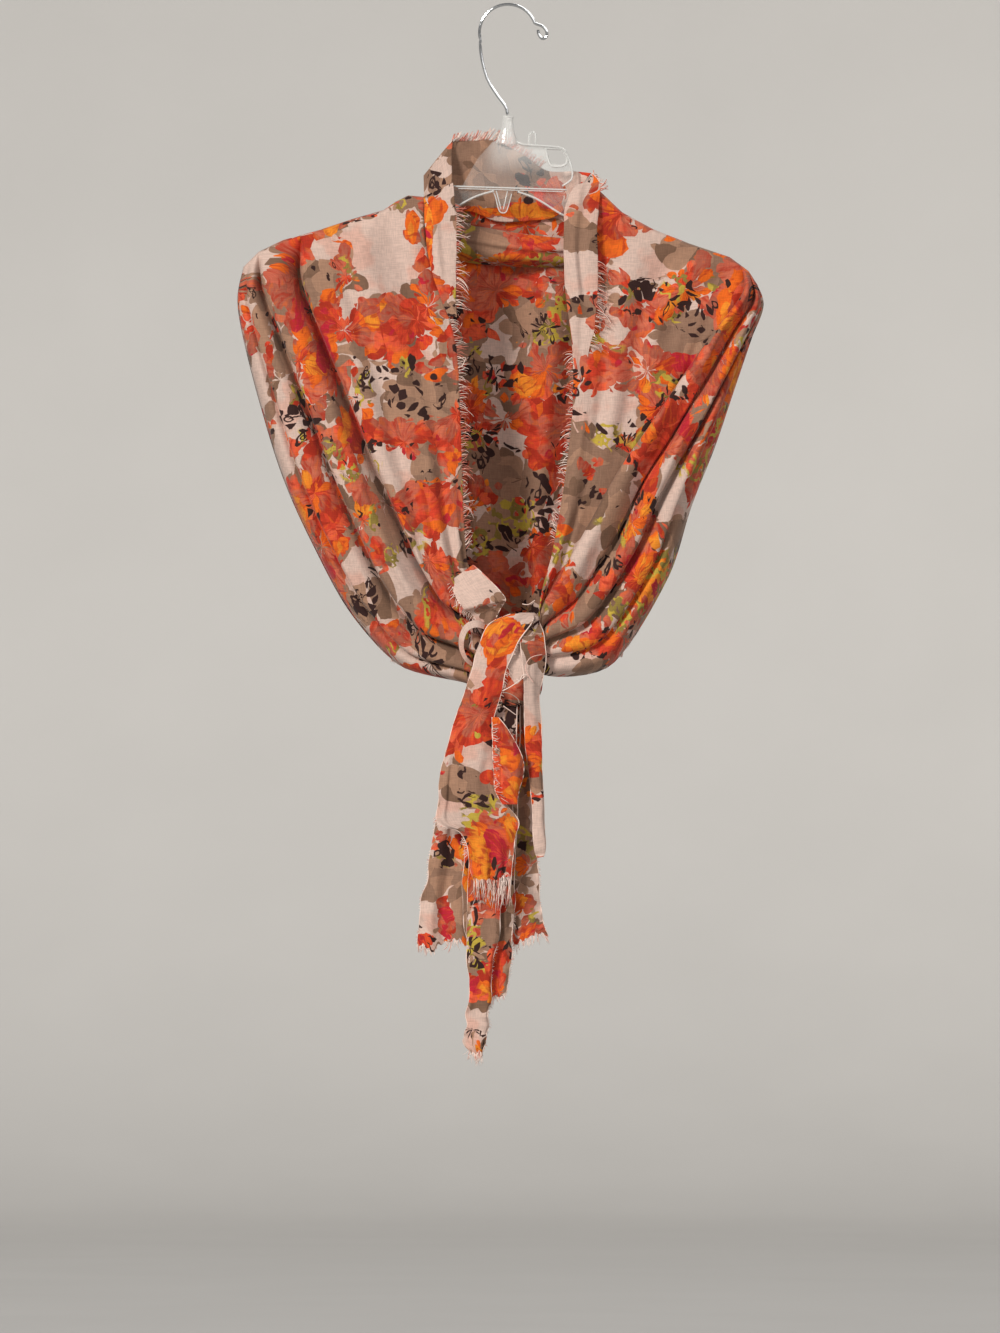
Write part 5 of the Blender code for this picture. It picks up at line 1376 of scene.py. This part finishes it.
def build_panels():
    """The two fronts and the back, which are one cloth, and the threads of their edges."""
    made = {}
    down = crowded(FRONT_ROWS)
    for panel in FRONTS:
        grid, lengths = front_sheet(panel)
        gauze = sheet(panel.name, grid, "coral_gauze", panel.spots, panel.shift, lengths, ("top", "b"))
        rows = (down >= (panel.first_row / PART_ROWS) ** ROW_CROWDING) & (down <= SIDE_ENDS)
        ways = edge_ways(grid[:, 0], grid[:, 2])[rows]
        edge = panel.name.replace("front", "edge_fringe")
        eyelash = threads(edge + "_threads", grid[rows, 0], ways, panel.fringe, seed=11 + panel.side)
        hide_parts(edge)
        low = grid[:, -1][(down > HEM_START) & (down < SIDE_ENDS)]
        made[panel.name] = (gauze, [eyelash, hem_threads(panel.name, low, seed=15)])
    grid, lengths = back_sheet()
    gauze = sheet("back_panel", grid, "taupe_gauze", BACK_SPOTS, (350, 900), lengths, ("top", "a", "b"))
    made["back_panel"] = (gauze, [hem_threads("back", grid[-1], seed=17)])
    return made


def outline(name, grid):
    """The pale line along a ribbon's two cut edges: partly fraying, partly a painted highlight of the light
    on the rolled edge.
    """
    along = np.linspace(0, 1, OUTLINE_STEPS)
    paths = np.array([read_line(grid[:, column], along) for column in (0, -1)])
    radii = np.array([OUTLINE * (1 + 0.6 * uneven(along * 40, k, 31)) for k in range(2)])
    return tubes(name + "_edges", paths, radii, seed=9, sides=5)


def build_ribbons():
    """Each stretch of cloth that a ribbon's table gives, with its threads."""
    made, grids = {}, {}
    for k, plan in enumerate(STRETCHES):
        grid = ribbon(plan, seed=20 + k)
        row, column = divmod(k, 6)
        shift = (100 + 300 * column, 1500 + 400 * row)  # the ribbons lie in two rows on the print
        gauze = sheet(plan.name, grid, plan.slot, plan.spots, shift)
        # Its pale outline is fraying and a painted highlight along the cut edges.
        fray_and_highlight = [outline(plan.name, grid)] if plan.name in OUTLINED else []
        made[plan.name] = (gauze, fray_and_highlight)
        grids[plan.name] = grid
    for k, lash in enumerate(LASHES):
        edge, inside = grids[lash.on][EDGES[lash.edge]], grids[lash.on][INSIDE[lash.edge]]
        last = len(edge) - 1
        span = slice(int(lash.start * last), int(lash.stop * last) + 1)
        ways = edge_ways(edge, inside)[span]
        if lash.way:
            ways = np.tile(np.array(lash.way, float) / np.linalg.norm(lash.way), (len(ways), 1))
        name = lash.on + "_" + lash.name
        lashes = threads(name + "_threads", edge[span], ways, lash, seed=40 + k)
        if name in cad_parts:
            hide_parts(name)
        made[lash.on][1].append(lashes)
    return made


def build_strings():
    """Long loose strings that hang from the cut edges at the knot."""
    paths = np.array([read_rows(string, np.linspace(0, 1, STRING_STEPS)) for string in STRINGS])
    return tubes("knot_strings", paths, np.full(paths.shape[:2], STRING), seed=5, sides=6)


def rounded(values):
    """A sine or cosine, squared off for the knot's section."""
    return np.sign(values) * np.abs(values) ** (2 / KNOT_SQUARENESS)


def build_knot():
    """The knot's wound body: folds sweep down and across it."""
    part = np.linspace(0, 1, KNOT_ROWS)
    angles = np.linspace(0, 2 * np.pi, KNOT_COLUMNS)
    z, left, right, front, back = (column[:, None] for column in read_rows(KNOT, part).T)
    facing = np.clip(-np.sin(angles), 0, 1) ** 0.5
    across = rounded(np.cos(angles)) * (right - left) / 2
    dent = np.zeros((KNOT_ROWS, KNOT_COLUMNS))
    for twist in KNOT_TWISTS:
        centre = twist.top + (twist.end - twist.top) * part[:, None]
        dent += twist.height * np.exp(-(((across - centre) / twist.width) ** 2))
    dent += 0.5 * uneven(across / 5, z / 14 + 60, 77)
    x = (right + left) / 2 + across
    y = (back + front) / 2 + ((back - front) / 2) * rounded(np.sin(angles)) - dent * facing
    grid = np.stack([x, y, np.broadcast_to(z, x.shape)], axis=-1)
    return sheet("knot", grid[:, ::-1], "coral_gauze", KNOT_SPOTS, (1900, 1500))


def build_hanger():
    """The clear hanger's and the hook's finish, and the moulded edges, whose milky, nearly opaque finish is
    a painted highlight of the light that they catch.
    """
    body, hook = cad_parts["hanger_body"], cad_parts["hook"]
    for node, finish in (
        (body, plastic_finish("hanger_clear_plastic", alpha=0.12, milky=0.34, clear=0.4)),
        (hook, chrome_finish()),
    ):
        node.data.materials.clear()
        node.data.materials.append(finish)
    steps = np.linspace(0, 1, EDGE_STEPS)
    paths = np.array([read_line(read_rows(line.places, steps), steps) for line in HANGER_EDGES])
    x, z = paths[..., 0].copy(), paths[..., 2] - HANGER_PIVOT_Z
    paths[..., 0] = x * math.cos(HANGER_TILT) - z * math.sin(HANGER_TILT)
    paths[..., 2] = x * math.sin(HANGER_TILT) + z * math.cos(HANGER_TILT) + HANGER_PIVOT_Z
    radii = np.array([[line.radius] * EDGE_STEPS for line in HANGER_EDGES])
    # The rims' finish is far more opaque than the plate's: a painted highlight, so they show as white
    # lines.
    clear = plastic_finish("hanger_clear_edges", alpha=0.80, milky=0.1, clear=0.35)
    tubes("hanger_edges", paths, radii, sides=10, finish=clear)


# ------------------------------ stage

FLOOR_DROP = 1.0  # metres from the part's lowest point down to the floor
FLOOR_EDGE = 22  # how far out the floor starts to curve up
FLOOR_CURVE = 3  # the radius of that curve
FLOOR_STEPS = 13
FLOOR_MIDDLE = 0.5  # how far out its first ring is
FLOOR_SIDES = 96


def build_stage():
    """A wide pale floor that curves up all round, further out than the camera."""
    low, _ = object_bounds()
    floor = low[2] - FLOOR_DROP
    profile = [(FLOOR_MIDDLE, floor)]
    for a in np.linspace(0, math.pi / 2, FLOOR_STEPS):
        profile.append((FLOOR_EDGE + FLOOR_CURVE * math.sin(a), floor + FLOOR_CURVE * (1 - math.cos(a))))
    profile.append((FLOOR_EDGE + FLOOR_CURVE, floor + FLOOR_CURVE + 1))
    around = np.linspace(0, 2 * math.pi, FLOOR_SIDES + 1)[:-1]
    points = [(0, 0, floor)] + [(r * math.cos(a), r * math.sin(a), z) for r, z in profile for a in around]
    faces = [[0, 1 + k, 1 + (k + 1) % FLOOR_SIDES] for k in range(FLOOR_SIDES)]
    for ring in range(len(profile) - 1):
        first = 1 + FLOOR_SIDES * ring
        for k in range(FLOOR_SIDES):
            here, beyond = first + k, first + (k + 1) % FLOOR_SIDES
            faces.append([here, here + FLOOR_SIDES, beyond + FLOOR_SIDES, beyond])
    n = Nodes("pale_backdrop")
    colour = n.mix(n.noise(n.own_place(), 40, 3), "#B6B5B3", "#B0AFAD")
    finish = n.finish(n.skin({"Base Color": colour, "Roughness": 0.9}))
    mesh_object("backdrop", points, faces, finish)


# Far soft lamps: where each one's light comes from, how many degrees wide it looks, its strength and
# its colour.
Lamp = namedtuple("Lamp", "name x y z soft strength colour")
LAMPS = table(Lamp, [
    ("key", -1, -1.4, 0.9, 12, 2.9, (1, 0.955, 0.90)),
    ("fill", 0.7, -1.5, 0.5, 40, 0.75, (1, 0.975, 0.95)),
    ("back", 0.7, 1.4, 0.9, 30, 0.9, (1, 0.98, 0.96)),
])
WORLD_COLOUR = (1, 0.98, 0.96, 1)
WORLD_STRENGTH = 0.24
CAMERA = (-0.0067, -12, -0.5565)  # metres
VIEW_HEIGHT = 1.12  # metres that the picture shows from top to bottom, at the cloth
CLOTH_NEARER = 0.03  # metres that the cloth's front is nearer than the origin
SENSOR = 36  # millimetres


def build_view():
    """Plain soft studio light, and a camera far in front."""
    scene = bpy.context.scene
    scene.world = bpy.data.worlds.new("studio")
    scene.world.use_nodes = True
    background = scene.world.node_tree.nodes["Background"].inputs
    background["Color"].default_value = WORLD_COLOUR
    background["Strength"].default_value = WORLD_STRENGTH
    scene.view_settings.view_transform = "Standard"
    for lamp in LAMPS:
        light = bpy.data.lights.new(lamp.name, "SUN")
        light.angle = math.radians(lamp.soft)
        light.energy = lamp.strength
        light.color = lamp.colour
        made = bpy.data.objects.new(lamp.name, light)
        high = math.atan2(math.hypot(lamp.x, lamp.y), lamp.z)
        made.rotation_euler = (high, 0, math.atan2(lamp.y, lamp.x) + math.pi / 2)
        scene.collection.objects.link(made)
    camera = bpy.data.cameras.new("camera")
    camera.sensor_width = SENSOR
    camera.lens = SENSOR * (-CAMERA[1] - CLOTH_NEARER) / VIEW_HEIGHT
    scene.camera = bpy.data.objects.new("camera", camera)
    scene.camera.location = CAMERA
    scene.camera.rotation_euler = (math.pi / 2, 0, 0)
    scene.collection.objects.link(scene.camera)


def main():
    made = build_panels() | build_ribbons()
    made["knot"] = (build_knot(), [build_strings()])
    build_hanger()
    build_stage()
    build_view()


main()
